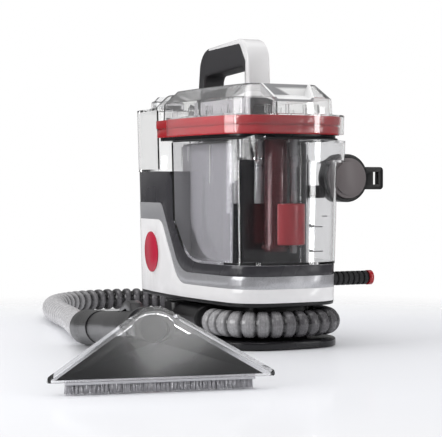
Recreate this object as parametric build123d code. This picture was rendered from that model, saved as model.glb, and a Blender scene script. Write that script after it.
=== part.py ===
from build123d import *
import math
import os

os.makedirs("parts", exist_ok=True)

# A portable spot extractor: a wet carpet cleaner with a carry handle, a dirty-water tank at the
# front, a clean-water tank at the rear, a hose that wraps round its waist, and a hand tool.
# Origin: centre of the underside, on the floor. +Z up, -Y the front, +X the machine's right.
# All sizes are in millimetres.

# Fits and walls
seat_gap = 0.3
slide_gap = 1.0
shaft_gap = 0.05
shell_wall = 3.0
clear_wall = 2.4

# Plan outline of the body
body_width = 140.0
body_length = 286.0
side_bow = 800.0
end_bow = 320.0
corner_radius = 38.0
draft_angle = 1.5

# Base and waist
mat_proud = 1.0
mat_thickness = 2.6
mat_bar = 26.0
mat_strip = 24.0
mat_side = 28.0
mat_end = 39.0
mat_bar_x = body_width / 2 - mat_side
mat_bar_y = body_length / 2 - mat_end
plate_top = 9.0
plate_overhang = 3.2
hose_diameter = 28.0
hose_play = 7.7
waist_inset = 27.0
grille_front_y = 30.0
grille_end = 39.0
grille_rear_y = body_length / 2 - grille_end
screw_radius = 2.0
screw_x = 27.0
screw_step = 26.0
screw_y = mat_bar_y - screw_step
skirt_height = 4.0
skirt_bottom = plate_top + hose_diameter + hose_play
shell_bottom = skirt_bottom + skirt_height

# Body shells, by height above the floor
crease_z = 63.0
band_top_z = 76.0
tray_z = 87.0
white_top_z = 131.5
band_rear_z = 150.5
guard_top_z = 185.5
tank_rear_y = 3.0
guard_front_y = 6.0
band_step = 0.4

# Separator inside the dirty tank
separator_end = 22.0
separator_y = -body_length / 2 + separator_end
standpipe_x = -12.0
standpipe_radius = 11.8
guide_x = 9.0
guide_radius = 3.8
float_radius = 20.0
float_z = 108.0
float_height = 43.0
float_play = 0.6
float_room = 9.0
dip_setback = 16.0
dip_x = -23.0
dip_radius = 5.0
bleed_x = -50.0
bleed_radius = 3.0
tube_wall = 1.2

# Motor housing, the column between the tanks, and its neck through the lid
handle_line_z = 331.5
handle_height = 67.5
housing_half = 48.0
housing_front_y = separator_y + float_radius + float_room
housing_rear_y = 41.0
housing_top_z = 216.0
housing_corner = 16.0
neck_half = 16.0
neck_setback = 23.0
neck_front_y = housing_front_y + neck_setback
neck_end = 75.0
neck_rear_y = body_length / 2 - neck_end
neck_top_z = handle_line_z - handle_height
neck_roof = 8.0
inlet_height = 10.0

# Dirty tank, its pour collar and spout
collar_z = 194.0
tank_top_z = 217.0
collar_reach = 7.5
spout_z = 221.5
spout_side = 18.0
spout_x = -body_width / 2 + spout_side
spout_reach = 11.0
spout_y = -body_length / 2 - spout_reach

# Lid: dark base, red ring, clear dome
gasket_height = 2.2
ring_bottom_z = 223.0
groove_z = 231.5
groove_height = 1.6
ring_top_z = 242.0
ring_overhang = 2.0
skirt_gap = 1.3
skirt_reach = ring_overhang + skirt_gap + clear_wall
flange_height = 1.6
lid_rear_y = housing_rear_y
dome_top_z = 276.0
dome_foot = 7.0
dome_shoulder_z = 261.0
dome_shoulder = 8.5
dome_slope = 26.0
dome_rib = 1.6
dome_rib_reach = 6.0
dome_rib_height = 12.0
pocket_z = 259.0
pocket_rise = 5.6
pocket_top = 29.5
pocket_bottom = 20.0
pocket_end = 24.0
pocket_back_y = -body_length / 2 + pocket_end
pocket_wall = 2.5

# Clean tank
tank_gap = 2.0
clean_front_y = lid_rear_y + tank_gap
clean_top_z = 257.0
hump_length = 34.0
hump_height = 15.0
hump_inset = 8.0
notch_gap = 3.0
filler_side = 34.0
filler_x = -body_width / 2 + filler_side
filler_end = 45.0
filler_y = body_length / 2 - filler_end
filler_radius = 19.0
outlet_side = 36.0
outlet_x = body_width / 2 - outlet_side
outlet_end = 39.0
outlet_y = body_length / 2 - outlet_end
outlet_radius = 9.0
outlet_depth = 10.0
cage_height = 24.0

# Pump, under the clean tank's outlet
pump_half = 20.0
pump_foot = 10.0
pump_height = 52.0
pump_head_radius = 13.0
pump_head_height = 12.0
tube_radius = 4.0

# Motor and fan
motor_y = -26.0
motor_radius = 40.0
motor_z = 96.0
motor_height = 74.0
shaft_radius = 4.0
fan_radius = 38.0
fan_blades = 9

# Power button, at the rear
button_z = 166.0
button_radius = 10.5
button_room = 10.5

# Carry handle
handle_width = 27.0
handle_inset = 4.0
handle_front_y = neck_front_y + handle_inset
handle_rear_inset = 3.0
handle_rear_y = neck_rear_y - handle_rear_inset
grip_depth = 27.0
cover_depth = 7.0
cover_leg = 9.0
cover_end = 30.0

# Badge on the left side
badge_end = 70.0
badge_y = body_length / 2 - badge_end
badge_z = 94.0
badge_radius = 23.0

# Right side: tool clip and storage post
clip_end = 71.0
clip_y = -body_length / 2 + clip_end
clip_z = 178.0
clip_radius = 26.5
clip_band = 4.0
clip_depth = 15.0
clip_gap = 4.0
tab_reach = 23.0
tab_height = 25.0
strap_z = 163.0
strap_width = 14.0
strap_proud = 6.0
post_end = 47.0
post_y = -body_length / 2 + post_end
post_z = 69.0
post_radius = 7.6
post_length = 54.0
post_ribs = 7
post_root_radius = 5.0

# Hand tool, lying on the floor in front and to the left
tool_x = -249.5
tool_y = -363.0
tool_yaw = 11.5
tool_slope = 5.2
cuff_radius = 18.5
grip_radius = 16.5
cuff_length = 96.0
pin_radius = 2.0
pivot_end = 29.0
spigot_radius = 12.0
grip_length = 205.0
nozzle_reach = 71.0
tool_length = cuff_length + grip_length + nozzle_reach
nozzle_half = 95.0
nozzle_edge_z = 12.0
nozzle_rise = 56.0
nozzle_run = 37.0
cover_thickness = 3.0
nozzle_depth = 15.0
plate_depth = 9.0
plate_height = 45.0
brush_half = 80.0
brush_tufts = 34

# The hose's route along its centreline, from the machine's cuff to the tool's cuff
channel_z = plate_top + hose_diameter / 2 + 3.0
floor_z = hose_diameter / 2 + 0.2
cuff_mouth = (-60.5, -66.0, channel_z)
hose_route = [
    cuff_mouth,
    (-60.5, -96.0, channel_z),
    (-47.0, -124.0, channel_z),
    (-17.0, -136.5, channel_z),
    (18.0, -137.0, channel_z),
    (49.0, -126.0, channel_z),
    (62.5, -98.0, channel_z),
    (65.0, -56.0, channel_z),
    (65.5, 4.0, channel_z),
    (64.0, 70.0, channel_z),
    (65.0, 130.0, channel_z - 1.0),
    (80.0, 192.0, 18.0),
    (104.0, 250.0, floor_z),
    (112.0, 312.0, floor_z),
    (84.0, 366.0, floor_z),
    (28.0, 392.0, floor_z),
    (-34.0, 384.0, floor_z),
    (-86.0, 342.0, floor_z),
    (-114.0, 280.0, floor_z),
    (-128.0, 210.0, floor_z),
    (-139.0, 145.0, floor_z),
    (-153.0, 92.0, floor_z),
    (-166.2, 46.4, 14.35),
    (-175.33, 1.55, 18.5),
]


# --- Helpers ----------------------------------------------------------------------------------


def arcs_meet(half_w, half_l, side_r, end_r):
    """Where the right side's arc meets the rear end's arc, in the quadrant +X +Y."""
    gap_x, gap_y = half_w - side_r, half_l - end_r
    distance = math.hypot(gap_x, gap_y)
    along = (side_r**2 - end_r**2 + distance**2) / (2 * distance)
    across = math.sqrt(side_r**2 - along**2)
    unit_x, unit_y = -gap_x / distance, gap_y / distance
    return gap_x + along * unit_x - across * unit_y, along * unit_y + across * unit_x


def growth(z):
    """How far the drafted body has grown outwards at height z."""
    return math.tan(math.radians(draft_angle)) * (z - shell_bottom)


def outline(z, inset=0.0):
    """The body's plan at height z, moved in by inset: four shallow arcs with rounded corners."""
    grow = growth(z) - inset
    half_w, half_l = body_width / 2 + grow, body_length / 2 + grow
    x, y = arcs_meet(half_w, half_l, side_bow + grow, end_bow + grow)
    corners = [(x, -y), (x, y), (-x, y), (-x, -y)]
    middles = [(half_w, 0), (0, half_l), (-half_w, 0), (0, -half_l)]
    arcs = [ThreePointArc(corners[i], middles[i], corners[(i + 1) % 4]) for i in range(4)]
    face = Face(Wire(arcs))
    return Pos(0, 0, z) * face.fillet_2d(corner_radius + grow, face.vertices())


def block(z0, z1, inset0=0.0, inset1=None):
    """The drafted body between two heights, moved in by inset0 below and inset1 above."""
    inset1 = inset0 if inset1 is None else inset1
    wires = [outline(z0, inset0).outer_wire(), outline(z1, inset1).outer_wire()]
    return Solid.make_loft(wires, ruled=True)


def wall_band(z0, z1, inset, thickness):
    """A closed wall that follows the body, open above and below."""
    return block(z0, z1, inset) - block(z0 - 1, z1 + 1, inset + thickness)


def rounded(points, radii):
    """A flat polygon with its own radius at each corner."""
    face = Face(Wire.make_polygon([Vector(*p) for p in points], close=True))
    for point, radius in zip(points, radii):
        if radius:
            corner = face.vertices().sort_by_distance(Vector(*point))[0]
            face = face.fillet_2d(radius, [corner])
    return face


def plan_prism(points, radii, z0, z1):
    """A rounded polygon in plan, extruded between two heights."""
    return extrude(Pos(0, 0, z0) * rounded(points, radii), amount=z1 - z0, dir=(0, 0, 1))


def side_prism(points, radii, half, centre_x=0.0):
    """A rounded polygon of (Y, Z) points, extruded half to each side of centre_x."""
    face = Plane.YZ.offset(centre_x - half) * rounded(points, radii)
    return extrude(face, amount=2 * half, dir=(1, 0, 0))


def cuboid(x0, x1, y0, y1, z0, z1):
    """A box by its limits."""
    place = Pos((x0 + x1) / 2, (y0 + y1) / 2, (z0 + z1) / 2)
    return place * Box(x1 - x0, y1 - y0, z1 - z0)


def rod(x, y, z0, z1, radius, bore=0.0):
    """An upright cylinder or tube."""
    solid = Pos(x, y, (z0 + z1) / 2) * Cylinder(radius, z1 - z0)
    if bore:
        solid -= Pos(x, y, (z0 + z1) / 2) * Cylinder(bore, z1 - z0 + 2)
    return solid


def spring(radius, wire, length, turns):
    """A coil spring standing on Z = 0, that fills a length with a little clearance."""
    rise = length - 2 * (wire + 0.2)
    helix = Helix(rise / turns, rise, radius)
    section = Plane(helix @ 0, x_dir=(0, 0, 1), z_dir=helix % 0) * RegularPolygon(wire, 6)
    coil = sweep(section, path=helix)
    return Pos(0, 0, wire + 0.2) * coil


def rectangle(x0, x1, y0, y1):
    """The four corners of a rectangle, anticlockwise."""
    return [(x0, y0), (x1, y0), (x1, y1), (x0, y1)]


# --- Side profiles: each is the region below one line of the L-shaped side ----------------------


def white_region():
    """What the white shell covers, seen from the side."""
    points = [(-200, 0), (-200, crease_z), (-6, crease_z), (38, white_top_z), (200, white_top_z)]
    return side_prism(points + [(200, 0)], [0, 0, 30, 20, 0, 0], 120)


def band_region():
    """The white shell with the metallic band round it."""
    points = [(-200, 0), (-200, band_top_z), (-9, band_top_z), (37, band_rear_z)]
    return side_prism(points + [(200, band_rear_z), (200, 0)], [0, 0, 38, 12, 0, 0], 120)


def guard_region(gap=0.0):
    """Everything up to the dark guard's edge, moved out by gap towards the tank."""
    front = guard_front_y - gap
    points = [(-200, 0), (-200, tray_z + gap), (front - 33, tray_z + gap), (front, 134)]
    points += [(front, guard_top_z), (200, guard_top_z), (200, 0)]
    return side_prism(points, [0, 0, 56, 20, 14, 0, 0], 120)


# --- Base and waist ---------------------------------------------------------------------------


def mat_plan(margin=0.0):
    """An H of rubber: a bar under each end and a strip between them."""
    half_x, half_y, strip = mat_bar_x + margin, mat_bar / 2 + margin, mat_strip / 2 + margin
    bars = [plan_prism(rectangle(-half_x, half_x, y - half_y, y + half_y), [6] * 4, 0, mat_thickness)
            for y in (-mat_bar_y, mat_bar_y)]
    return bars[0] + bars[1] + cuboid(-strip, strip, -mat_bar_y, mat_bar_y, 0, mat_thickness)


def make_grip_mat():
    return mat_plan()


def make_base_plate():
    plate = block(mat_proud, plate_top, -plate_overhang)
    rims = plate.faces().sort_by(Axis.Z)[-1].edges()
    plate = fillet(rims, 2.5)
    return plate - mat_plan(0.2) - make_base_screws()


def waist_window():
    """The opening of the exhaust in the waist's left side."""
    x_out = -body_width / 2 + waist_inset
    low, high = plate_top + 6, skirt_bottom - 6
    return cuboid(x_out - 8, x_out + 12, grille_front_y, grille_rear_y, low, high)


def make_waist_drum():
    """The narrow waist that the hose wraps round, closed above, with a boss for each screw."""
    drum = block(plate_top, skirt_bottom, waist_inset)
    drum -= block(plate_top - 1, skirt_bottom - shell_wall, waist_inset + shell_wall)
    for x, y in screw_places():
        drum += rod(x, y, plate_top, skirt_bottom - 1, screw_radius + 3)
    drum -= cuboid(-14, 14, -40, 40, skirt_bottom - 6, skirt_bottom + 1)
    return drum - waist_window() - make_base_screws()


def make_exhaust_grille():
    """A curved panel of slanting slots that closes the window."""
    panel = wall_band(plate_top + 6, skirt_bottom - 6, waist_inset - 0.5, shell_wall) & waist_window()
    slot = Box(30, 3.0, 6.0)
    for row in range(3):
        z = plate_top + 11 + row * 6.9
        start = grille_front_y + 5 + 3.1 * (row % 2)
        count = int((grille_rear_y - start) / 6.2)
        panel -= Compound(children=[Pos(-45, start + 6.2 * i, z) * slot for i in range(count)])
    return panel


def make_hose_port():
    """The elbow that brings the hose out of the waist, and the cuff the hose ends in."""
    x, y, z = cuff_mouth
    reach = hose_diameter / 2 + 1.5
    cuff = Pos(x, y + 34, z) * Rot(90, 0, 0) * Cylinder(reach, 68)
    ring = Pos(x, y + 4, z) * Rot(90, 0, 0) * Cylinder(reach + 1.2, 8)
    wall_x = -body_width / 2 + waist_inset
    elbow = cuboid(x - reach, wall_x + 4, y + 62, y + 92, z - reach + 0.5, z + reach - 0.5)
    elbow = fillet(elbow.edges().filter_by(Axis.Z).group_by(Axis.X)[0], 9)
    return (cuff + ring + elbow) - block(plate_top - 1, skirt_bottom + 1, waist_inset)


def make_base_skirt():
    skirt = block(skirt_bottom, shell_bottom, 0.8, 0.0)
    return skirt - block(skirt_bottom - 1, shell_bottom + 1, waist_inset + 7)


def make_base_screws():
    """Four screws that hold the base plate to the waist."""
    screws = []
    for x, y in screw_places():
        head = rod(x, y, mat_proud, mat_proud + 2.4, screw_radius * 2.1)
        screws.append(head + rod(x, y, mat_proud + 2.4, plate_top + 12, screw_radius))
    return Compound(children=screws)


def screw_places():
    """Where the four base screws stand."""
    return [(x, y) for x in (-screw_x, screw_x) for y in (-screw_y, screw_y)]


# --- Body shells ------------------------------------------------------------------------------


def make_lower_shell():
    shell = wall_band(shell_bottom, white_top_z + 2, 0, shell_wall) & white_region()
    return shell - cord_hole() - badge_disc(0.2) - post_root()


def make_accent_band():
    band = wall_band(crease_z - 2, band_rear_z + 2, band_step, shell_wall)
    return (band & band_region()) - white_region() - post_root()


def make_side_guard():
    wall = wall_band(band_top_z - 2, guard_top_z + 2, 2 * band_step, shell_wall)
    guard = (wall & guard_region()) - band_region()
    return guard - button_hole() - post_root() - make_clip_screws()


def cord_hole():
    """The mains lead's hole through the rear of the white shell."""
    return Pos(30, body_length / 2, 72) * Rot(90, 0, 0) * Cylinder(7, 30)


def button_hole():
    """The power button's hole through the rear of the guard."""
    place = Pos(0, body_length / 2 + 3, button_z)
    return place * Rot(90, 0, 0) * Cylinder(button_radius + seat_gap, 30)


def make_cord_bushing():
    rear = body_length / 2 + growth(72)
    sleeve = Pos(30, rear - 4, 72) * Rot(90, 0, 0) * (Cylinder(6.9, 12) - Cylinder(3.6, 14))
    flange = Pos(30, rear + 1.6, 72) * Rot(90, 0, 0) * (Cylinder(9.5, 2.6) - Cylinder(3.6, 4))
    return sleeve + (flange - block(shell_bottom, 100, 0))


def badge_disc(margin=0.0):
    """A disc let into the left side, square to the bowed and drafted wall."""
    x = -side_x(badge_y, badge_z)
    out = Vector(-1, badge_y / side_bow, -math.sin(math.radians(draft_angle)))
    plane = Plane((x, badge_y, badge_z), x_dir=(0, 0, 1), z_dir=out)
    return plane.offset(-0.4).location * Cylinder(badge_radius + margin, 2.2)


def make_badge():
    """A plain round disc on the left side panel."""
    return badge_disc()


def make_tank_tray():
    """The deck that the dirty tank stands on, inside the guard's front."""
    deck = block(tray_z - 7, tray_z, 2 * band_step + shell_wall)
    deck &= cuboid(-200, 200, -200, guard_front_y + shell_wall, 0, 200)
    bulk = block(tray_z, guard_top_z, 2 * band_step + shell_wall)
    bulk &= cuboid(-200, 200, guard_front_y, guard_front_y + shell_wall, 0, 300)
    return deck + bulk - plan_prism(housing_plan(), [housing_corner] * 4, 0, 300)


def make_rear_deck():
    """The deck that the clean tank stands on, with the socket for its outlet."""
    deck = block(guard_top_z - 6, guard_top_z, 2 * band_step + shell_wall)
    deck &= cuboid(-200, 200, guard_front_y + shell_wall, 200, 0, 300)
    deck -= plan_prism(housing_plan(), [housing_corner] * 4, 0, 300)
    socket = rod(outlet_x, outlet_y, guard_top_z - 20, guard_top_z - 6, outlet_radius + 4)
    deck += socket
    deck -= rod(outlet_x, outlet_y, guard_top_z - 14, guard_top_z + 1, outlet_radius + slide_gap)
    return deck - rod(outlet_x, outlet_y, guard_top_z - 30, guard_top_z, 3)


# --- Motor housing, motor and fan -------------------------------------------------------------


def housing_plan(out=0.0):
    """The four corners of the housing's plan, moved out by out."""
    half, front, rear = housing_half + out, housing_front_y - out, housing_rear_y + out
    return rectangle(-half, half, front, rear)


def neck_plan(out=0.0):
    """The four corners of the neck's plan, moved out by out."""
    return rectangle(-neck_half - out, neck_half + out, neck_front_y - out, neck_rear_y + out)


def make_motor_housing():
    """The column between the tanks; its neck passes through the lid and carries the handle."""
    column = plan_prism(housing_plan(), [housing_corner] * 4, tray_z - 7, housing_top_z)
    top = column.faces().sort_by(Axis.Z)[-1]
    column = fillet(top.edges(), 3)
    spine = plan_prism(neck_plan(), [7] * 4, guard_top_z, neck_top_z)
    core = plan_prism(housing_plan(-shell_wall), [housing_corner - shell_wall] * 4,
                      tray_z - 8, housing_top_z - shell_wall)
    inlet = plan_prism(rectangle(-neck_half + 3, neck_half - 3, neck_front_y + 3, -10), [4] * 4,
                       housing_top_z - 10, neck_top_z - neck_roof)
    sill = neck_top_z - neck_roof - inlet_height
    window = cuboid(-neck_half + 5, neck_half - 5, neck_front_y - 5, neck_front_y + 10,
                    sill, sill + inlet_height)
    return column + spine - core - inlet - window


def make_motor_can():
    can = rod(0, motor_y, motor_z, motor_z + motor_height, motor_radius)
    can = fillet(can.edges().filter_by(GeomType.CIRCLE), 4)
    bore = rod(0, motor_y, motor_z + 4, motor_z + motor_height - 4, motor_radius - 4)
    hole = rod(0, motor_y, motor_z - 5, motor_z + motor_height + 5, 9)
    slots = [Pos(0, motor_y, motor_z + 37) * Rot(0, 0, 45 * i) * Pos(40, 0, 0) * Box(12, 12, 34)
             for i in range(8)]
    ears = [cuboid(-housing_half + shell_wall, -motor_radius + 3, motor_y - 6, motor_y + 6,
                   motor_z + 30, motor_z + 36)]
    ears.append(mirror(ears[0], about=Plane.YZ))
    return can - bore - hole - Compound(children=slots) + ears[0] + ears[1]


def make_motor_bearings():
    rings = [rod(0, motor_y, z, z + 8, 9, shaft_radius + shaft_gap)
             for z in (motor_z - 2, motor_z + motor_height - 6)]
    return Compound(children=rings)


def make_motor_shaft():
    shaft = rod(0, motor_y, motor_z - 4, motor_z + motor_height + 34, shaft_radius)
    return shaft + rod(0, motor_y, motor_z + 12, motor_z + motor_height - 12, 24)


def make_fan():
    """A backward-curved impeller between two discs."""
    base = motor_z + motor_height + 8
    hub = rod(0, motor_y, base, base + 20, 9, shaft_radius)
    disc = rod(0, motor_y, base, base + 2, fan_radius, shaft_radius)
    shroud = rod(0, motor_y, base + 16, base + 18, fan_radius, 16)
    fan = hub + disc + shroud
    for i in range(fan_blades):
        arc = ThreePointArc((8, 0), (24, 7), (fan_radius - 1, 0))
        blade = extrude(Pos(0, 0, base + 1.5) * trace(arc, 1.8), amount=15)
        fan += Pos(0, motor_y, 0) * Rot(0, 0, 360 * i / fan_blades) * blade
    return fan


# --- Carry handle -----------------------------------------------------------------------------


def handle_form():
    """The whole handle: a front leg, a grip that rises to the front and a rear leg."""
    front, rear, top = handle_front_y, handle_rear_y, handle_line_z
    points = [(front, neck_top_z), (front + 4, top), (rear - 8, top - 7), (rear, neck_top_z)]
    under = top - grip_depth - 5
    gap = [(front + 12, neck_top_z - 1), (front + 13, under), (rear - 18, under - 5),
           (rear - 16, neck_top_z - 1)]
    form = side_prism(points, [0, 26, 26, 0], handle_width / 2)
    form -= side_prism(gap, [0, 7, 9, 0], handle_width)
    outer = [e for e in form.edges() if abs(abs(e.center().X) - handle_width / 2) < 0.1
             and e.center().Z > neck_top_z + 0.1]
    return fillet(outer, 3.0)


def grip_region():
    """What the dark grip takes of the handle; the white cover takes the rest."""
    front, rear, top = handle_front_y + cover_leg, handle_rear_y - cover_end, handle_line_z - cover_depth
    points = [(front, 0), (front, handle_line_z - grip_depth), (front + 14, top),
              (rear, top - cover_depth / 4), (rear + 2, top + grip_depth), (200, top + grip_depth), (200, 0)]
    return side_prism(points, [0, 0, 6, 2, 0, 0, 0], 60)


def make_carry_handle():
    return handle_form() & grip_region()


def make_handle_cover():
    return handle_form() - grip_region()


# --- Dirty tank -------------------------------------------------------------------------------


def tank_plan(gap):
    """The U-shaped room that the housing leaves for the tank."""
    front = cuboid(-200, 200, -300, tank_rear_y - gap, 0, 400)
    hollow = plan_prism(housing_plan(slide_gap + gap), [housing_corner + slide_gap + gap] * 4, 0, 400)
    return front - hollow


def spout_form(inset=0.0):
    """The pour spout at the collar's left end, moved in by inset; its lip rises to the tip."""
    x, y, back = spout_x, spout_y, spout_y + 26
    face = rounded([(x - 8, back), (x - 9, y + 15), (x, y), (x + 14, y + 5), (x + 14, back)],
                   [0, 4, 3, 0, 0])
    face = offset(face, -inset) if inset else face
    low = collar_z + 2 + inset
    form = extrude(Pos(0, 0, low) * face, amount=spout_z + inset - low, dir=(0, 0, 1))
    lip = [(y - 5, 0), (y - 5, spout_z + inset), (y + 2, spout_z + inset),
           (y + 14, tank_top_z + inset), (back, tank_top_z + inset), (back, 0)]
    return form & side_prism(lip, [0] * 6, 120)


def collar_form(inset=0.0):
    """The collar that steps out round the front and the right, moved in by inset."""
    region = cuboid(spout_x + 6 + inset, 200, -300, tank_rear_y, 0, 400)
    return block(collar_z + inset, tank_top_z - inset, inset - collar_reach) & region


def make_dirty_tank():
    """A clear U-shaped tank with a collar and a pour spout."""
    low = tray_z + seat_gap
    spout = spout_form() - block(tank_top_z, spout_z + clear_wall, -0.8)
    outer = block(low, tank_top_z) + collar_form() + spout
    outer = (outer & tank_plan(0)) - guard_region(seat_gap * 2)
    inner = block(low + clear_wall, tank_top_z + 1, clear_wall)
    inner = inner + collar_form(clear_wall) + spout_form(clear_wall)
    inner = (inner & tank_plan(clear_wall)) - guard_region(seat_gap * 2 + clear_wall)
    return outer - inner


# --- Lid --------------------------------------------------------------------------------------


def lid_room(gap=0.0):
    """The lid's plan: everything in front of the clean tank, less a slot for the neck."""
    front = cuboid(-200, 200, -300, lid_rear_y - gap, 0, 400)
    slot = plan_prism(rectangle(-neck_half - slide_gap - gap, neck_half + slide_gap + gap,
                                neck_front_y - slide_gap - gap, 200), [6, 6, 0, 0], 0, 400)
    return front - slot


def make_lid_gasket():
    ring = wall_band(tank_top_z + seat_gap, tank_top_z + seat_gap + gasket_height, 0.6, 3.4)
    return ring & cuboid(-200, 200, -300, tank_rear_y - 0.6, 0, 400)


def lid_base_z():
    """The underside of the lid's base."""
    return tank_top_z + seat_gap + gasket_height


def make_lid_base():
    """The dark floor of the lid, over the tank, with the separator's sockets."""
    base = block(lid_base_z(), ring_bottom_z + 4, 3.0) & lid_room()
    base -= rod(standpipe_x, separator_y, 200, 300, standpipe_radius)
    return base - rod(guide_x, separator_y, 200, ring_bottom_z + 2, guide_radius)


def make_lid_ring():
    """The red ring: two bands with a groove between them."""
    low = wall_band(ring_bottom_z, groove_z, -ring_overhang + 0.8, 12)
    groove = wall_band(groove_z, groove_z + groove_height, 0.4, 10)
    high = wall_band(groove_z + groove_height, ring_top_z, -ring_overhang, 12)
    return (low + groove + high - block(lid_base_z() - 1, ring_bottom_z + 4, 3.0)) & lid_room()


def dome_shape(inset=0.0):
    """The dome's solid form, moved in by inset: a steep foot under a long chamfer."""
    low = ring_top_z - inset
    foot = block(low, dome_shoulder_z, dome_foot + inset, dome_shoulder + inset)
    roof = block(dome_shoulder_z, dome_top_z - inset, dome_shoulder + inset, dome_slope + inset / 2)
    return (foot + roof) & lid_room(inset)


def pocket(out=0.0):
    """The finger pocket at the front of the dome, wider at the top, with a floor that rises inwards."""
    low, back, top = pocket_z - out, pocket_back_y + out, dome_top_z + 5 + out
    points = [(-pocket_bottom - out, low), (pocket_bottom + out, low),
              (pocket_top + out, top), (-pocket_top - out, top)]
    front = -body_length / 2 - collar_reach - 20 + out
    face = Plane((0, front, 0), x_dir=(1, 0, 0), z_dir=(0, -1, 0)) * rounded(points, [3, 3, 0, 0])
    foot = -body_length / 2 + 3
    ramp = [(front, low), (foot, low), (back, low + pocket_rise), (back, top), (front, top)]
    return extrude(face, amount=front - back) & side_prism(ramp, [0] * 5, 120)


def dome_ribs():
    """Upright ribs inside the dome's foot, round the left, the front and the right."""
    strip = dome_shape(clear_wall / 2) - dome_shape(clear_wall + dome_rib_reach)
    strip &= cuboid(-200, 200, -300, 300, ring_top_z, ring_top_z + dome_rib_height)
    pitch = (lid_rear_y - separator_y) / 4
    half = dome_rib / 2
    cuts = [cuboid(-200, 200, separator_y + pitch * (i + 0.4) - half,
                   separator_y + pitch * (i + 0.4) + half, 0, 400) for i in range(4)]
    pitch = pocket_top
    cuts += [cuboid(pitch * i - half, pitch * i + half, -300, separator_y + 5, 0, 400)
             for i in (-1, -0.2, 0.5, 1)]
    return strip & Compound(children=cuts)


def lid_skirt():
    """The clear skirt that stands round the ring, and the flange that carries it."""
    top = ring_top_z + flange_height
    skirt = wall_band(ring_bottom_z + 1, top, -skirt_reach, clear_wall)
    flange = wall_band(ring_top_z, top, -skirt_reach, skirt_reach + dome_foot + 1)
    return (skirt + flange) & lid_room() & cuboid(-200, 200, -300, tank_rear_y, 0, 400)


def make_lid_dome():
    dome = dome_shape() - dome_shape(clear_wall) + dome_ribs() + lid_skirt()
    return dome - pocket(pocket_wall)


def make_lid_grip():
    """The grey lining of the finger pocket."""
    return (pocket(pocket_wall) - pocket()) & dome_shape()


# --- Separator and float ----------------------------------------------------------------------


def make_standpipe():
    pipe = rod(standpipe_x, separator_y, tray_z + 14, ring_bottom_z + 4, standpipe_radius,
               standpipe_radius - 2)
    stop = rod(standpipe_x, separator_y, float_z - 4, float_z - seat_gap, standpipe_radius + 3,
               standpipe_radius - 2)
    return pipe + stop


def make_guide_tube():
    """The float's guide, with the two short tubes that hang beside it."""
    tube = rod(guide_x, separator_y, tray_z + 12, ring_bottom_z + 2, guide_radius, guide_radius - 1)
    tube += rod(guide_x, separator_y, 189, lid_base_z(), guide_radius + 1.4, guide_radius - 1)
    low, y = float_z + float_height, separator_y + dip_setback
    dip = rod(dip_x, y, low, lid_base_z(), dip_radius, dip_radius - tube_wall)
    bleed = rod(bleed_x, y, low, lid_base_z(), bleed_radius, bleed_radius - tube_wall)
    return Compound(children=[tube, dip, bleed])


def make_float():
    body = rod(0, separator_y, float_z, float_z + float_height, float_radius)
    body = fillet(body.edges().filter_by(GeomType.CIRCLE), 1.5)
    body -= rod(standpipe_x, separator_y, 0, 300, standpipe_radius + float_play)
    return body - rod(guide_x, separator_y, 0, 300, guide_radius + float_play)


# --- Clean tank -------------------------------------------------------------------------------


def clean_form(z0, inset=0.0):
    """The clean tank's form above z0, moved in by inset: a block with a hump at its front."""
    top, front = clean_top_z - inset, clean_front_y + inset
    form = block(z0, top, inset) & cuboid(-200, 200, front, 300, 0, 400)
    rear, peak = clean_front_y + hump_length - inset, top + hump_height
    profile = [(front, top - 1), (front, peak), (rear - 18, peak), (rear, top - 1)]
    hump = side_prism(profile, [0, 0, 16, 0], 120)
    form += hump & block(top - 1, peak, hump_inset + inset, hump_inset + 12 + inset)
    notch = neck_half + notch_gap + inset
    points = rectangle(-notch, notch, 0, neck_rear_y + notch_gap + inset)
    return form - plan_prism(points, [0, 0, 6, 6], 0, 400)


def make_clean_tank():
    low, high = guard_top_z + seat_gap, clean_top_z
    shell = clean_form(low) - clean_form(low + clear_wall, clear_wall)
    shell += rod(filler_x, filler_y, high - clear_wall, high + 6, filler_radius - 3)
    shell -= rod(filler_x, filler_y, high - 10, high + 10, filler_radius - 5)
    shell += rod(outlet_x, outlet_y, low - outlet_depth, low + 8, outlet_radius)
    shell -= rod(outlet_x, outlet_y, low - outlet_depth - 1, low + 9, outlet_radius - 3)
    arch = cuboid(outlet_x - 13, outlet_x + 13, outlet_y - 3, outlet_y + 3, low + 1, low + cage_height)
    room = cuboid(outlet_x - 11, outlet_x + 11, outlet_y - 4, outlet_y + 4, low, low + cage_height - 2)
    return shell + (arch - room)


def make_tank_cap():
    """The filler cap, with a grip bar across its top."""
    base = clean_top_z + seat_gap + 1.5
    cap = rod(filler_x, filler_y, base, base + 9, filler_radius)
    cap = fillet(cap.edges().filter_by(GeomType.CIRCLE).group_by(Axis.Z)[-1], 3)
    cap -= rod(filler_x, filler_y, base - 1, base + 6.5, filler_radius - 2.5)
    reach = filler_radius - 3
    face = Plane.XZ * rounded([(-reach, 0), (reach, 0), (reach - 5, 5), (-reach + 5, 5)], [0, 0, 3, 3])
    bar = Pos(filler_x, filler_y + 2.5, base + 9) * extrude(face, amount=5, dir=(0, -1, 0))
    return cap + bar


def make_cap_gasket():
    return rod(filler_x, filler_y, clean_top_z, clean_top_z + 1.5, filler_radius - 0.5,
               filler_radius - 3)


def make_tank_valve():
    """The sprung valve in the tank's outlet."""
    low = guard_top_z + seat_gap
    stem = rod(outlet_x, outlet_y, low - outlet_depth + 1, low + 18, 1.6)
    disc = rod(outlet_x, outlet_y, low + 8.4, low + 10.4, outlet_radius - 1)
    return stem + disc


def make_valve_spring():
    low = guard_top_z + seat_gap + 10.4
    room = cage_height - 2 - 10.4
    coil = spring(3.2, 0.45, room, 4)
    return Pos(outlet_x, outlet_y, low) * coil


# --- Pump and controls ------------------------------------------------------------------------


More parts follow.
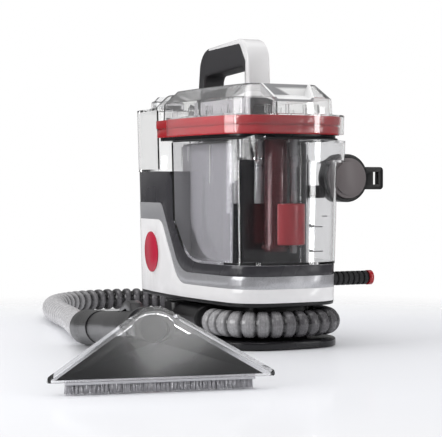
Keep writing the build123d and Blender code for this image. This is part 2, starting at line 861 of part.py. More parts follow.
def make_pump():
    x, y, low = outlet_x, outlet_y, shell_bottom + pump_foot
    body = cuboid(x - pump_half, x + pump_half, y - pump_half, y + pump_half, low, low + pump_height)
    body = fillet(body.edges(), pump_half / 5)
    head = rod(x, y, low + pump_height - 2, low + pump_height + pump_head_height, pump_head_radius)
    feet = cuboid(x - pump_half - 2, x + pump_half, y - pump_half * 0.6, y + pump_half / 2,
                  shell_bottom, low + 1)
    return body + head + feet


def make_supply_tube():
    low = shell_bottom + pump_foot + pump_height + pump_head_height
    return rod(outlet_x, outlet_y, low, guard_top_z - 20, tube_radius, tube_radius - tube_wall)


def button_rear():
    """The guard's outer face behind the button."""
    return body_length / 2 + growth(button_z) - 2 * band_step


def make_power_button():
    """A round push button; its skirt slides in the guard's hole."""
    return Pos(0, button_rear() - 2, button_z) * Rot(90, 0, 0) * Cylinder(button_radius, 8)


def make_button_spring():
    coil = spring(5, 0.5, button_room, 4)
    return Pos(0, button_rear() - 6, button_z) * Rot(90, 0, 0) * coil


def make_switch_box():
    """The switch behind the button, hung from the deck."""
    front = button_rear() - 6 - button_room
    return cuboid(-14, 14, front - 24, front, button_z - 12, guard_top_z - 6)


# --- Right side -------------------------------------------------------------------------------


def side_x(y, z):
    """The right wall's X at a place on the bowed side."""
    return body_width / 2 + growth(z) - y * y / (2 * side_bow)


def ring_place():
    """The clip ring's centre, facing the front."""
    x = side_x(clip_y, clip_z) + clip_radius + clip_gap
    return Pos(x, clip_y, clip_z) * Rot(90, 0, 0)


def strap_outer():
    """The X of the strap's outer face."""
    return side_x(0, strap_z) + strap_proud


def make_tool_clip():
    """A strap that reaches forward along the right side and ends in a ring for a tool."""
    ring = ring_place() * Cylinder(clip_radius, clip_depth)
    tab_x = side_x(clip_y, clip_z) + 2 * clip_radius + clip_gap
    tab = cuboid(tab_x - 3, tab_x + tab_reach, clip_y - clip_depth / 4, clip_y + clip_depth / 4,
                 clip_z - tab_height / 2, clip_z + tab_height / 2)
    tab = fillet(tab.edges().filter_by(Axis.Y), 4)
    tab -= cuboid(tab_x + tab_reach - 13, tab_x + tab_reach - 6, clip_y - clip_depth, clip_y + clip_depth,
                  clip_z - 7, clip_z + 7)
    outer, low, high = strap_outer(), strap_z - strap_width / 2, strap_z + strap_width / 2
    arm = cuboid(outer - 14, outer, clip_y - 2, guard_front_y + 36, low, high)
    arm = fillet(arm.edges().filter_by(Axis.X), 4)
    room = block(low - 6, high + 6, -slide_gap) & cuboid(0, 200, -200, guard_front_y, 0, 300)
    arm = arm - block(low - 6, high + 6, 2 * band_step) - room
    clip = ring + tab + arm - ring_place() * Cylinder(clip_radius - clip_band, clip_depth + 2)
    return clip - make_clip_screws()


def make_clip_screws():
    """Two screws that hold the strap to the guard."""
    outer = strap_outer()
    screws = []
    for y in (guard_front_y + 12, guard_front_y + 26):
        head = Pos(outer + 0.6, y, strap_z) * Rot(0, 90, 0) * Cylinder(3.4, 1.2)
        screws.append(head + Pos(outer - 5, y, strap_z) * Rot(0, 90, 0) * Cylinder(1.5, 10))
    return Compound(children=screws)


def make_stored_brush():
    """A small round brush kept in the clip's ring."""
    radius = clip_radius - clip_band - seat_gap
    body = Cylinder(radius, 22) + Pos(0, 0, 12) * Cylinder(radius - 4, 2)
    return ring_place() * body


def post_root():
    """The post's root, which passes through the body's wall."""
    x = side_x(post_y, post_z)
    return Pos(x, post_y, post_z) * Rot(0, 90, 0) * Cylinder(post_root_radius, 2 * shell_wall)


def make_storage_post():
    """A ribbed rubber post that a tool's socket is pushed onto."""
    root = side_x(post_y, post_z) - shell_wall
    core = post_length - shell_wall - seat_gap
    post = post_root() + Pos(root + post_length - core / 2, post_y, post_z) * Rot(0, 90, 0) * Cylinder(
        post_radius - 1.6, core)
    pitch = (post_length - 8) / post_ribs
    for i in range(post_ribs):
        x = root + 7 + pitch * (i + 0.5)
        post += Pos(x, post_y, post_z) * Rot(0, 90, 0) * Cylinder(post_radius, pitch * 0.6)
    return post


def make_post_cap():
    end = side_x(post_y, post_z) - shell_wall + post_length
    return Pos(end + 2.5, post_y, post_z) * Rot(0, 90, 0) * Cylinder(post_radius + 0.4, 5)


# --- Hand tool --------------------------------------------------------------------------------


tool_place = Location((tool_x, tool_y, 0), (0, 0, -tool_yaw))


def on_axis(distance):
    """A plane across the tool's axis, at a distance from the hose end, facing the nozzle."""
    slope = math.radians(tool_slope)
    start = Vector(0, tool_length, cuff_radius)
    direction = Vector(0, -math.cos(slope), math.sin(slope))
    return Plane(start + direction * distance, x_dir=(1, 0, 0), z_dir=direction)


def spun(profile, distance):
    """A revolved profile of (radius, length) points, standing on the tool's axis."""
    face = Face(Wire.make_polygon([Vector(r, 0, z) for r, z in profile], close=True))
    return on_axis(distance).location * revolve(face, Axis.Z)


def in_row(shape):
    """Places a shape of the hand tool in the machine's frame."""
    return tool_place * shape


def make_tool_cuff():
    r = cuff_radius
    profile = [(0, 0), (r - 0.6, 0), (r, 2), (r, 30), (r - 1, 60), (grip_radius + 0.6, cuff_length),
               (0, cuff_length)]
    return in_row(spun(profile, 0))


def make_tool_handle():
    """The grip, with a slot for the trigger and a hole for its pin."""
    r, length = grip_radius, grip_length
    profile = [(0, 0), (r, 0), (r, length * 0.5), (r + 1.0, length), (0, length)]
    grip = spun(profile, cuff_length)
    slot = trigger_frame() * Pos(0, 6, -26) * Box(13, 24, 68)
    return in_row(grip - slot - trigger_frame() * pin_bore(pin_radius))


def trigger_frame():
    """The trigger's pivot: across the tool, near the grip's top at the nozzle end."""
    return on_axis(cuff_length + grip_length - pivot_end).location * Pos(0, grip_radius - 7, 0)


def pin_bore(radius):
    """A cylinder along the trigger's pivot."""
    return Rot(0, 90, 0) * Cylinder(radius, 23)


def make_trigger():
    """A humped lever on top of the grip, hinged at its nozzle end."""
    points = [(5, -4), (6, 6), (-6, 13), (-24, 16), (-42, 12), (-54, 8), (-53, 5.5), (-26, 8.5),
              (-11, 3), (-7, -4)]
    radii = [3, 4, 8, 20, 10, 1, 1, 8, 4, 2]
    lever = Plane((5.5, 0, 0), x_dir=(0, 0, 1), z_dir=(-1, 0, 0)) * rounded(points, radii)
    lever = extrude(lever, amount=11, dir=(-1, 0, 0))
    return in_row(trigger_frame() * (lever - pin_bore(pin_radius + shaft_gap)))


def make_trigger_pin():
    return in_row(trigger_frame() * pin_bore(pin_radius))


def make_trigger_spring():
    """The coil under the lever, between it and the slot's floor."""
    coil = spring(2.6, 0.4, 13.6, 5)
    return in_row(trigger_frame() * Pos(0, -6, -29.5) * Rot(-90, 0, 0) * coil)


def make_spray_valve():
    """The valve's body, sunk in the slot's floor."""
    body = Pos(0, -3, -40) * Box(9, 6, 14)
    return in_row(trigger_frame() * (body - Pos(0, 0, -40) * Rot(90, 0, 0) * Cylinder(2.1, 30)))


def make_valve_plunger():
    """The pin that the lever pushes into the valve."""
    pin = Pos(0, 2.2, -40) * Rot(90, 0, 0) * Cylinder(1.9, 8.0)
    return in_row(trigger_frame() * pin)


def make_tool_neck():
    """The neck that joins the grip to the nozzle, with a release collar and a spigot."""
    r, spigot = grip_radius + 1.0, spigot_radius
    profile = [(0, 0), (r, 0), (r + 1.6, 2), (r + 1.6, 12), (r, 14), (r, 24), (spigot, 24),
               (spigot, 36), (0, 36)]
    return in_row(spun(profile, cuff_length + grip_length))


def nozzle_plane(back=0.0):
    """The nozzle's face: its X across, its Y up the slope, its Z out of the face."""
    up = Vector(0, nozzle_run, nozzle_rise).normalized()
    out = Vector(0, -nozzle_rise, nozzle_run).normalized()
    origin = Vector(0, -5, nozzle_edge_z) - out * back
    return Plane(origin, x_dir=(1, 0, 0), z_dir=out)


def fan_shape(inset=0.0):
    """The nozzle's rounded triangle, moved in by inset."""
    height = math.hypot(nozzle_rise, nozzle_run)
    half = nozzle_half
    points = [(-half, 0), (half, 0), (half, 5), (0, height + 6), (-half, 5)]
    face = rounded(points, [2, 2, 3, 24, 3])
    return offset(face, -inset) if inset else face


def fan_block(back0, back1, inset=0.0):
    """The rounded triangle as a slab between two depths behind the face."""
    face = nozzle_plane(back1) * fan_shape(inset)
    return extrude(face, amount=back1 - back0)


def mouth_cut():
    """What is cut away below the nozzle's edge, so that its mouth is open to the floor."""
    return cuboid(-200, 200, -200, 200, -100, nozzle_edge_z - 0.4)


def neck_socket(margin=0.0):
    """The round socket behind the nozzle's plate, along the tool's axis."""
    reach = on_axis(cuff_length + grip_length + 24 + seat_gap - margin)
    socket = reach.location * Pos(0, 0, 30) * Cylinder(grip_radius + 1 + margin, 60)
    behind = extrude(nozzle_plane(plate_depth) * Rectangle(400, 400), amount=-200)
    return socket & behind


def make_nozzle_cover():
    """The clear fan: a face and a rim that hooks round the nozzle's body."""
    cover = fan_block(0, nozzle_depth) - fan_block(cover_thickness, nozzle_depth + 5, cover_thickness)
    return in_row(cover - mouth_cut() - neck_socket(seat_gap))


def make_nozzle_body():
    """The dark back of the nozzle: a plate that stops below the inlet, and the neck's socket."""
    plate = fan_block(plate_depth, nozzle_depth, cover_thickness + seat_gap) - mouth_cut()
    plate -= nozzle_plane().location * Pos(0, plate_height + 50, 0) * Box(400, 100, 100)
    bore = on_axis(cuff_length + grip_length + 24).location * Cylinder(spigot_radius + seat_gap, 90)
    return in_row(plate + neck_socket() - bore)


def make_brush_strip():
    """A bar of tufts under the nozzle's body."""
    top = nozzle_edge_z - 0.4
    bar = cuboid(-brush_half, brush_half, 2, 11, top - 3, top)
    pitch = 2 * brush_half / brush_tufts
    tufts = [cuboid(-brush_half + pitch * i + 0.5, -brush_half + pitch * (i + 1) - 0.5, 3.5, 9.5,
                    0, top - 3) for i in range(brush_tufts)]
    return in_row(bar + tufts)


def make_spray_tip():
    """The jet behind the nozzle, pointing down at the floor."""
    tip = Pos(0, 26, 26) * Rot(35, 0, 0) * (Cylinder(4, 12) + Pos(0, 0, -8) * Cylinder(2.4, 5))
    return in_row(tip - fan_block(0, nozzle_depth))


# --- Hose -------------------------------------------------------------------------------------


def route_radii(points):
    """The radius of each bend: as large as its two runs allow."""
    radii = []
    for a, b, c in zip(points, points[1:], points[2:]):
        before, after = Vector(*b) - Vector(*a), Vector(*c) - Vector(*b)
        turn = math.radians(before.get_angle(after))
        radii.append(0.45 * min(before.length, after.length) / math.tan(turn / 2))
    return radii


def make_hose():
    radii = route_radii(hose_route)
    print("hose bend radii:", [round(r) for r in radii])
    path = FilletPolyline(*hose_route, radius=radii)
    section = Plane(path @ 0, z_dir=path % 0) * Circle(hose_diameter / 2)
    hose = sweep(section, path=path)
    print("hose length", round(path.length), "volume ratio",
          round(hose.volume / (path.length * math.pi * hose_diameter**2 / 4), 4))
    return hose


NODES = {
    "grip_mat": make_grip_mat,
    "base_plate": make_base_plate,
    "base_screws": make_base_screws,
    "waist_drum": make_waist_drum,
    "exhaust_grille": make_exhaust_grille,
    "hose_port": make_hose_port,
    "base_skirt": make_base_skirt,
    "lower_shell": make_lower_shell,
    "accent_band": make_accent_band,
    "side_guard": make_side_guard,
    "cord_bushing": make_cord_bushing,
    "badge": make_badge,
    "tank_tray": make_tank_tray,
    "rear_deck": make_rear_deck,
    "motor_housing": make_motor_housing,
    "motor_can": make_motor_can,
    "motor_bearings": make_motor_bearings,
    "motor_shaft": make_motor_shaft,
    "fan": make_fan,
    "carry_handle": make_carry_handle,
    "handle_cover": make_handle_cover,
    "dirty_tank": make_dirty_tank,
    "lid_gasket": make_lid_gasket,
    "lid_base": make_lid_base,
    "lid_ring": make_lid_ring,
    "lid_dome": make_lid_dome,
    "lid_grip": make_lid_grip,
    "standpipe": make_standpipe,
    "guide_tube": make_guide_tube,
    "float": make_float,
    "clean_tank": make_clean_tank,
    "tank_cap": make_tank_cap,
    "cap_gasket": make_cap_gasket,
    "tank_valve": make_tank_valve,
    "valve_spring": make_valve_spring,
    "pump": make_pump,
    "supply_tube": make_supply_tube,
    "power_button": make_power_button,
    "button_spring": make_button_spring,
    "switch_box": make_switch_box,
    "tool_clip": make_tool_clip,
    "clip_screws": make_clip_screws,
    "stored_brush": make_stored_brush,
    "storage_post": make_storage_post,
    "post_cap": make_post_cap,
    "tool_cuff": make_tool_cuff,
    "tool_handle": make_tool_handle,
    "trigger": make_trigger,
    "trigger_pin": make_trigger_pin,
    "trigger_spring": make_trigger_spring,
    "spray_valve": make_spray_valve,
    "valve_plunger": make_valve_plunger,
    "tool_neck": make_tool_neck,
    "nozzle_cover": make_nozzle_cover,
    "nozzle_body": make_nozzle_body,
    "brush_strip": make_brush_strip,
    "spray_tip": make_spray_tip,
    "hose": make_hose,
}

for name, make in NODES.items():
    shape = make()
    export_step(shape, f"parts/{name}.step")
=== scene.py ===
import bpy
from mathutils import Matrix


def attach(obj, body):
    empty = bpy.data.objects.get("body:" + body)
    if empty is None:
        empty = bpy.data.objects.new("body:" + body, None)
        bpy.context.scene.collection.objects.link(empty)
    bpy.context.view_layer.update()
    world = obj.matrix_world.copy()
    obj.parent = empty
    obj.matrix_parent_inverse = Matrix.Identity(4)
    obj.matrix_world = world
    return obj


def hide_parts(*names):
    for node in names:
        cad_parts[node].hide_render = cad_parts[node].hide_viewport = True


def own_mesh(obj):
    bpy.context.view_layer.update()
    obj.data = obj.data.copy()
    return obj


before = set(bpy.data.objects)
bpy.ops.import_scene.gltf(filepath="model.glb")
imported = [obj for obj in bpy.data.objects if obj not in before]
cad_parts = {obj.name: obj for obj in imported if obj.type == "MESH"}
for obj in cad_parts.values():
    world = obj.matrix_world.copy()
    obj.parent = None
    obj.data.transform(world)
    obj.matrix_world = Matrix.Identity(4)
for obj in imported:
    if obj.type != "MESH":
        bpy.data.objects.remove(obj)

"""Dresses a portable spot extractor: finishes, clear tanks, a ribbed hose and a plain studio."""

import logging
import math
import random
from dataclasses import dataclass, field
from enum import Enum
from typing import Any, Optional, Sequence

import bmesh
import bpy
from mathutils import Matrix, Vector

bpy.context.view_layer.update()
LOG = logging.getLogger("spot_extractor")
MM = 0.001
JOIN_MM = 0.001     # points closer than this are one point

Point = tuple[float, float, float]
Colour = tuple[float, float, float, float]


# --- Small tools ------------------------------------------------------------------------------


def linear(code: str) -> Colour:
    """Turns an sRGB hex colour to linear.

    Args:
        code: Six hex digits after a hash sign.

    Returns:
        Red, green, blue and an alpha of one.
    """
    parts = [int(code[i:i + 2], 16) / 255 for i in (1, 3, 5)]
    done = [c / 12.92 if c <= 0.04045 else ((c + 0.055) / 1.055) ** 2.4 for c in parts]
    return done[0], done[1], done[2], 1.0


def per_metre(spacing_mm: float) -> float:
    """Gives the scale of a pattern that repeats at a real spacing.

    Args:
        spacing_mm: The spacing, in millimetres.

    Returns:
        The scale, for coordinates in metres.
    """
    return 1.0 / (spacing_mm * MM)


def shaded(colour: Colour, factor: float, lift: float = 0.0) -> Colour:
    """Multiplies a linear colour, with its alpha kept at one.

    Args:
        colour: The linear colour.
        factor: What each part is multiplied by.
        lift: What each part is raised by after that.

    Returns:
        The new colour.
    """
    red, green, blue = (c * factor + lift for c in colour[:3])
    return red, green, blue, 1.0


def add_node(tree: Any, kind: str, settings: Optional[dict[str, Any]] = None,
             sockets: Optional[dict[Any, Any]] = None) -> Any:
    """Adds a shader node.

    Args:
        tree: The node tree that it goes in.
        kind: The node's type, without its ShaderNode prefix.
        settings: Properties of the node.
        sockets: A value, or an output to link, for each input by name or place.

    Returns:
        The node.
    """
    node = tree.nodes.new("ShaderNode" + kind)
    for name, value in (settings or {}).items():
        setattr(node, name, value)
    for name, value in (sockets or {}).items():
        if isinstance(value, bpy.types.NodeSocket):
            tree.links.new(value, node.inputs[name])
        else:
            node.inputs[name].default_value = value
    return node


def blank_material(name: str) -> tuple[Any, Any]:
    """Makes a material with an empty node tree.

    Args:
        name: What the material is called.

    Returns:
        The material and its node tree.
    """
    material = bpy.data.materials.new(name)
    material.use_nodes = True
    material.node_tree.nodes.clear()
    return material, material.node_tree


def finish_tree(tree: Any, shader: Any) -> None:
    """Links a shader to a new output node.

    Args:
        tree: The material's node tree.
        shader: The shader's output socket.
    """
    add_node(tree, "OutputMaterial", sockets={"Surface": shader})


def piece_from(bm: Any, name: str, material: Any, body: str, smooth: bool = True) -> Any:
    """Turns a bmesh into a piece of the object.

    Args:
        bm: The mesh in metres, already in place. It is freed.
        name: The piece's name.
        material: Its finish.
        body: The body that it rides on.
        smooth: Whether its faces are shaded smooth.

    Returns:
        The new object.
    """
    bmesh.ops.remove_doubles(bm, verts=bm.verts[:], dist=JOIN_MM * MM)
    bmesh.ops.recalc_face_normals(bm, faces=bm.faces[:])
    for face in bm.faces:
        face.smooth = smooth
    mesh = bpy.data.meshes.new(name)
    bm.to_mesh(mesh)
    bm.free()
    mesh.materials.append(material)
    piece = bpy.data.objects.new(name, mesh)
    bpy.context.scene.collection.objects.link(piece)
    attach(piece, body)
    LOG.info("made %s on %s", name, body)
    return piece


def rounded_edges(piece: Any, width_mm: float, angle: float = 35.0) -> None:
    """Gives a piece the small edge radius of a moulding.

    Args:
        piece: The object.
        width_mm: The radius.
        angle: Edges sharper than this are rounded, in degrees.
    """
    bevel = piece.modifiers.new("edge radius", "BEVEL")
    bevel.width = width_mm * MM
    bevel.segments = 2
    bevel.limit_method = "ANGLE"
    bevel.angle_limit = math.radians(angle)
    bevel.harden_normals = True


# --- Finishes ---------------------------------------------------------------------------------


@dataclass(frozen=True)
class MouldedPlastic:
    """Injection-moulded ABS or polypropylene: an even colour with the mould's fine grain.

    Attributes:
        name: The material's name.
        colour: sRGB hex.
        roughness: Roughness, before its spread.
        grain_mm: The spacing of the mould's texture.
        bump: How strongly the texture stands out.
        coat: A clear gloss over the colour, as on a polished mould.
        ior: Refractive index, which sets how much the surface mirrors.
        flow_mm: The spacing of the faint clouds that the melt's flow leaves.
        flow: How much darker they are.
        depth_mm: How deep the texture is.
        spread: How far the roughness goes below and above its value in those clouds.
        coat_roughness: How rough the clear gloss is.
    """

    name: str
    colour: str
    roughness: float = 0.4
    grain_mm: float = 1.2
    bump: float = 0.12
    coat: float = 0.0
    ior: float = 1.45
    flow_mm: float = 71.43
    flow: float = 0.93
    depth_mm: float = 0.2
    spread: tuple[float, float] = (-0.05, 0.07)
    coat_roughness: float = 0.06

    def make(self) -> Any:
        """Builds the material.

        Returns:
            The Blender material.
        """
        material, tree = blank_material(self.name)
        place = add_node(tree, "TexCoord").outputs["Object"]
        flow = add_node(tree, "TexNoise", sockets={
            "Vector": place, "Scale": per_metre(self.flow_mm), "Detail": 3.0})
        grain = add_node(tree, "TexNoise", sockets={
            "Vector": place, "Scale": per_metre(self.grain_mm), "Detail": 2.0})
        base = linear(self.colour)
        tint = add_node(tree, "MixRGB", sockets={
            "Fac": flow.outputs["Fac"], "Color1": base, "Color2": shaded(base, self.flow)})
        below, above = self.spread
        rough = add_node(tree, "MapRange", sockets={
            "Value": flow.outputs["Fac"], "To Min": self.roughness + below,
            "To Max": self.roughness + above})
        bump = add_node(tree, "Bump", sockets={
            "Height": grain.outputs["Fac"], "Strength": self.bump,
            "Distance": self.depth_mm * MM})
        shader = add_node(tree, "BsdfPrincipled", sockets={
            "Base Color": tint.outputs[0], "Roughness": rough.outputs[0],
            "Normal": bump.outputs[0], "IOR": self.ior, "Coat Weight": self.coat,
            "Coat Roughness": self.coat_roughness})
        finish_tree(tree, shader.outputs[0])
        return material


@dataclass(frozen=True)
class SilverPaint:
    """Metallic silver paint on ABS: fine flakes under a clear coat give a soft bright sheen.

    Attributes:
        name: The material's name.
        colour: sRGB hex.
        flake_mm: The flakes' size, drawn coarser than the real 0.05 mm so that it shows.
        flake: How dark the flakes' edges are.
        roughness: The roughness in a flake's middle and at its edge.
        metallic: The share of metal, since the flakes lie in a clear binder.
        coat: How much lacquer lies over them.
        coat_roughness: How rough the lacquer is.
    """

    name: str
    colour: str
    flake_mm: float = 0.8
    flake: float = 0.86
    roughness: tuple[float, float] = (0.22, 0.36)
    metallic: float = 0.45
    coat: float = 0.5
    coat_roughness: float = 0.05

    def make(self) -> Any:
        """Builds the material.

        Returns:
            The Blender material.
        """
        material, tree = blank_material(self.name)
        place = add_node(tree, "TexCoord").outputs["Object"]
        flake = add_node(tree, "TexVoronoi", sockets={
            "Vector": place, "Scale": per_metre(self.flake_mm)})
        rough = add_node(tree, "MapRange", sockets={
            "Value": flake.outputs["Distance"], "To Min": self.roughness[0],
            "To Max": self.roughness[1]})
        base = linear(self.colour)
        tint = add_node(tree, "MixRGB", sockets={
            "Fac": flake.outputs["Distance"], "Color1": base,
            "Color2": shaded(base, self.flake)})
        shader = add_node(tree, "BsdfPrincipled", sockets={
            "Base Color": tint.outputs[0], "Roughness": rough.outputs[0],
            "Metallic": self.metallic, "Coat Weight": self.coat,
            "Coat Roughness": self.coat_roughness})
        finish_tree(tree, shader.outputs[0])
        return material


@dataclass(frozen=True)
class ClearPlastic:
    """Clear moulded SAN or polycarbonate: a thin wall that passes light, and shines at a slant.

    Attributes:
        name: The material's name.
        tint: sRGB hex of what passes straight through one wall.
        roughness: Surface roughness.
        ior: Refractive index.
        haze: The share of light that the plastic scatters, as fine scratches do.
        ripple_mm: The spacing of the wall's faint waves.
        wave: How strong the waves are.
        wave_mm: How deep they are.
        dull: sRGB hex of what is scattered.
    """

    name: str
    tint: str
    roughness: float = 0.0
    ior: float = 1.45
    haze: float = 0.006
    ripple_mm: float = 45.45
    wave: float = 0.08
    wave_mm: float = 0.5
    dull: str = "#e6e6e8"

    def make(self) -> Any:
        """Builds the material.

        Returns:
            The Blender material.
        """
        material, tree = blank_material(self.name)
        place = add_node(tree, "TexCoord").outputs["Object"]
        ripple = add_node(tree, "TexNoise", sockets={
            "Vector": place, "Scale": per_metre(self.ripple_mm)})
        bump = add_node(tree, "Bump", sockets={
            "Height": ripple.outputs["Fac"], "Strength": self.wave,
            "Distance": self.wave_mm * MM})
        glass = add_node(tree, "BsdfPrincipled", sockets={
            "Base Color": linear(self.tint), "Roughness": self.roughness, "IOR": self.ior,
            "Transmission Weight": 1.0, "Normal": bump.outputs[0]})
        dull = add_node(tree, "BsdfDiffuse", sockets={"Color": linear(self.dull)})
        body = add_node(tree, "MixShader", sockets={
            0: self.haze, 1: glass.outputs[0], 2: dull.outputs[0]})
        through = add_node(tree, "BsdfTransparent", sockets={"Color": linear(self.tint)})
        ray = add_node(tree, "LightPath")
        both = add_node(tree, "MixShader", sockets={
            0: ray.outputs["Is Shadow Ray"], 1: body.outputs[0], 2: through.outputs[0]})
        finish_tree(tree, both.outputs[0])
        return material


@dataclass(frozen=True)
class ThinPlastic:
    """A thin clear tube or blade in the tank: light passes straight on, and it shines at a slant.

    Attributes:
        name: The material's name.
        tint: sRGB hex of what one wall passes.
        body: sRGB hex of what the wall itself scatters.
        milk: The share of light that it scatters.
        ior: Refractive index, which sets how the shine grows at a slant.
        cloud_mm: The spacing of the milky clouds.
        uneven: How far the milk goes up and down in them, as a share.
        gloss: The roughness of the shine.
    """

    name: str
    tint: str
    body: str
    milk: float = 0.1
    ior: float = 1.5
    cloud_mm: float = 25.0
    uneven: float = 0.2
    gloss: float = 0.06

    def make(self) -> Any:
        """Builds the material.

        Returns:
            The Blender material.
        """
        material, tree = blank_material(self.name)
        place = add_node(tree, "TexCoord").outputs["Object"]
        cloud = add_node(tree, "TexNoise", sockets={
            "Vector": place, "Scale": per_metre(self.cloud_mm)})
        milk = add_node(tree, "MapRange", sockets={
            "Value": cloud.outputs["Fac"], "To Min": self.milk * (1.0 - self.uneven),
            "To Max": self.milk * (1.0 + self.uneven)})
        through = add_node(tree, "BsdfTransparent", sockets={"Color": linear(self.tint)})
        scatter = add_node(tree, "BsdfDiffuse", sockets={"Color": linear(self.body)})
        wall = add_node(tree, "MixShader", sockets={
            0: milk.outputs[0], 1: through.outputs[0], 2: scatter.outputs[0]})
        gloss = add_node(tree, "BsdfGlossy", sockets={"Roughness": self.gloss})
        slant = add_node(tree, "Fresnel", sockets={"IOR": self.ior})
        both = add_node(tree, "MixShader", sockets={
            0: slant.outputs[0], 1: wall.outputs[0], 2: gloss.outputs[0]})
        finish_tree(tree, both.outputs[0])
        return material


@dataclass(frozen=True)
class FacingShadePlastic:
    """Satin ABS with two colours painted by facing, which part where the faces turn to one axis:
    painted light and shade.

    Attributes:
        name: The material's name.
        turned: sRGB hex of the faces that look along the axis, which take the painted lighter
            tone.
        rest: sRGB hex of the others, painted darker as shade.
        axis: The axis, as X, Y or Z.
        turn: How far a face turns to the axis, as a cosine, before it takes the first colour.
        blur: Half the width of the change, as a cosine.
        grain_mm: The spacing of the mould's texture.
        bump: How strongly it stands out.
        depth_mm: How deep it is.
        roughness: The least and the most rough spot.
        ior: Refractive index.
    """

    name: str
    turned: str
    rest: str
    axis: str = "X"
    turn: float = 0.72
    blur: float = 0.02
    grain_mm: float = 1.11
    bump: float = 0.06
    depth_mm: float = 0.2
    roughness: tuple[float, float] = (0.32, 0.44)
    ior: float = 1.4

    def make(self) -> Any:
        """Builds the material.

        Returns:
            The Blender material.
        """
        material, tree = blank_material(self.name)
        spots = add_node(tree, "TexCoord")
        place = spots.outputs["Object"]
        grain = add_node(tree, "TexNoise", sockets={
            "Vector": place, "Scale": per_metre(self.grain_mm)})
        parts = add_node(tree, "SeparateXYZ", sockets={0: spots.outputs["Normal"]})
        sideways = add_node(tree, "Math", {"operation": "ABSOLUTE"}, {0: parts.outputs[self.axis]})
        side = add_node(tree, "MapRange", sockets={
            "Value": sideways.outputs[0], "From Min": self.turn - self.blur,
            "From Max": self.turn + self.blur})
        # Painted light and shade: each face's colour is chosen by which way it turns.
        tint = add_node(tree, "MixRGB", sockets={
            "Fac": side.outputs[0], "Color1": linear(self.rest), "Color2": linear(self.turned)})
        rough = add_node(tree, "MapRange", sockets={
            "Value": grain.outputs["Fac"], "To Min": self.roughness[0],
            "To Max": self.roughness[1]})
        bump = add_node(tree, "Bump", sockets={
            "Height": grain.outputs["Fac"], "Strength": self.bump,
            "Distance": self.depth_mm * MM})
        shader = add_node(tree, "BsdfPrincipled", sockets={
            "Base Color": tint.outputs[0], "Roughness": rough.outputs[0], "IOR": self.ior,
            "Normal": bump.outputs[0]})
        finish_tree(tree, shader.outputs[0])
        return material


@dataclass(frozen=True)
class RibbedPlastic:
    """Stretchy blown polyethylene: worn rib crests over grooves painted dark as shade; the
    stretched run is painted pale as a reflection of the bright surround.

    Attributes:
        name: The material's name.
        crest: sRGB hex of the ribs' tops round the waist.
        groove: sRGB hex between them, painted dark as shade.
        pale: sRGB hex of the ribs' tops where the hose lies stretched over the floor, a painted
            reflection of the bright surround.
        shade: sRGB hex of the grooves there.
        layer: The name of the mesh's rib-height layer.
        wear_mm: The spacing of the worn spots.
        change: Where, along X in metres, the dark run begins to take the painted pale reflection,
            and where it is fully pale.
        worn: The least and the most that wear lightens a crest.
        steep: How sharply the crest's colour begins, going up a rib.
        roughness: The least and the most rough spot.
        coat: How glossy the blown skin is.
        coat_roughness: How rough that gloss is.
    """

    name: str
    crest: str
    groove: str
    pale: str
    shade: str
    layer: str = "rib_height"
    wear_mm: float = 2.38
    change: tuple[float, float] = (0.0, -0.1)
    worn: tuple[float, float] = (0.92, 1.04)
    steep: float = 1.6
    roughness: tuple[float, float] = (0.18, 0.36)
    coat: float = 0.4
    coat_roughness: float = 0.1

    def make(self) -> Any:
        """Builds the material.

        Returns:
            The Blender material.
        """
        material, tree = blank_material(self.name)
        place = add_node(tree, "TexCoord").outputs["Object"]
        high = add_node(tree, "Attribute", {"attribute_name": self.layer}).outputs["Fac"]
        wear = add_node(tree, "TexNoise", sockets={
            "Vector": place, "Scale": per_metre(self.wear_mm), "Detail": 3.0})
        lift = add_node(tree, "MapRange", sockets={
            "Value": wear.outputs["Fac"], "From Min": 0.3, "From Max": 0.7,
            "To Min": self.worn[0], "To Max": self.worn[1]})
        steep = add_node(tree, "Math", {"operation": "POWER"}, {0: high, 1: self.steep})
        share = add_node(tree, "Math", {"operation": "MULTIPLY"}, {
            0: steep.outputs[0], 1: lift.outputs[0]})
        parts = add_node(tree, "SeparateXYZ", sockets={0: place})
        away = add_node(tree, "MapRange", sockets={
            "Value": parts.outputs["X"], "From Min": self.change[0],
            "From Max": self.change[1]})
        # Painted reflection: past the change along X, the crests and grooves take the pale colours
        # of the bright surround.
        top = add_node(tree, "MixRGB", sockets={
            "Fac": away.outputs[0], "Color1": linear(self.crest), "Color2": linear(self.pale)})
        deep = add_node(tree, "MixRGB", sockets={
            "Fac": away.outputs[0], "Color1": linear(self.groove), "Color2": linear(self.shade)})
        # Painted shade: low on each rib the colour goes to the dark groove colour.
        tint = add_node(tree, "MixRGB", sockets={
            "Fac": share.outputs[0], "Color1": deep.outputs[0], "Color2": top.outputs[0]})
        rough = add_node(tree, "MapRange", sockets={
            "Value": wear.outputs["Fac"], "To Min": self.roughness[0],
            "To Max": self.roughness[1]})
        shader = add_node(tree, "BsdfPrincipled", sockets={
            "Base Color": tint.outputs[0], "Roughness": rough.outputs[0],
            "Coat Weight": self.coat, "Coat Roughness": self.coat_roughness})
        finish_tree(tree, shader.outputs[0])
        return material


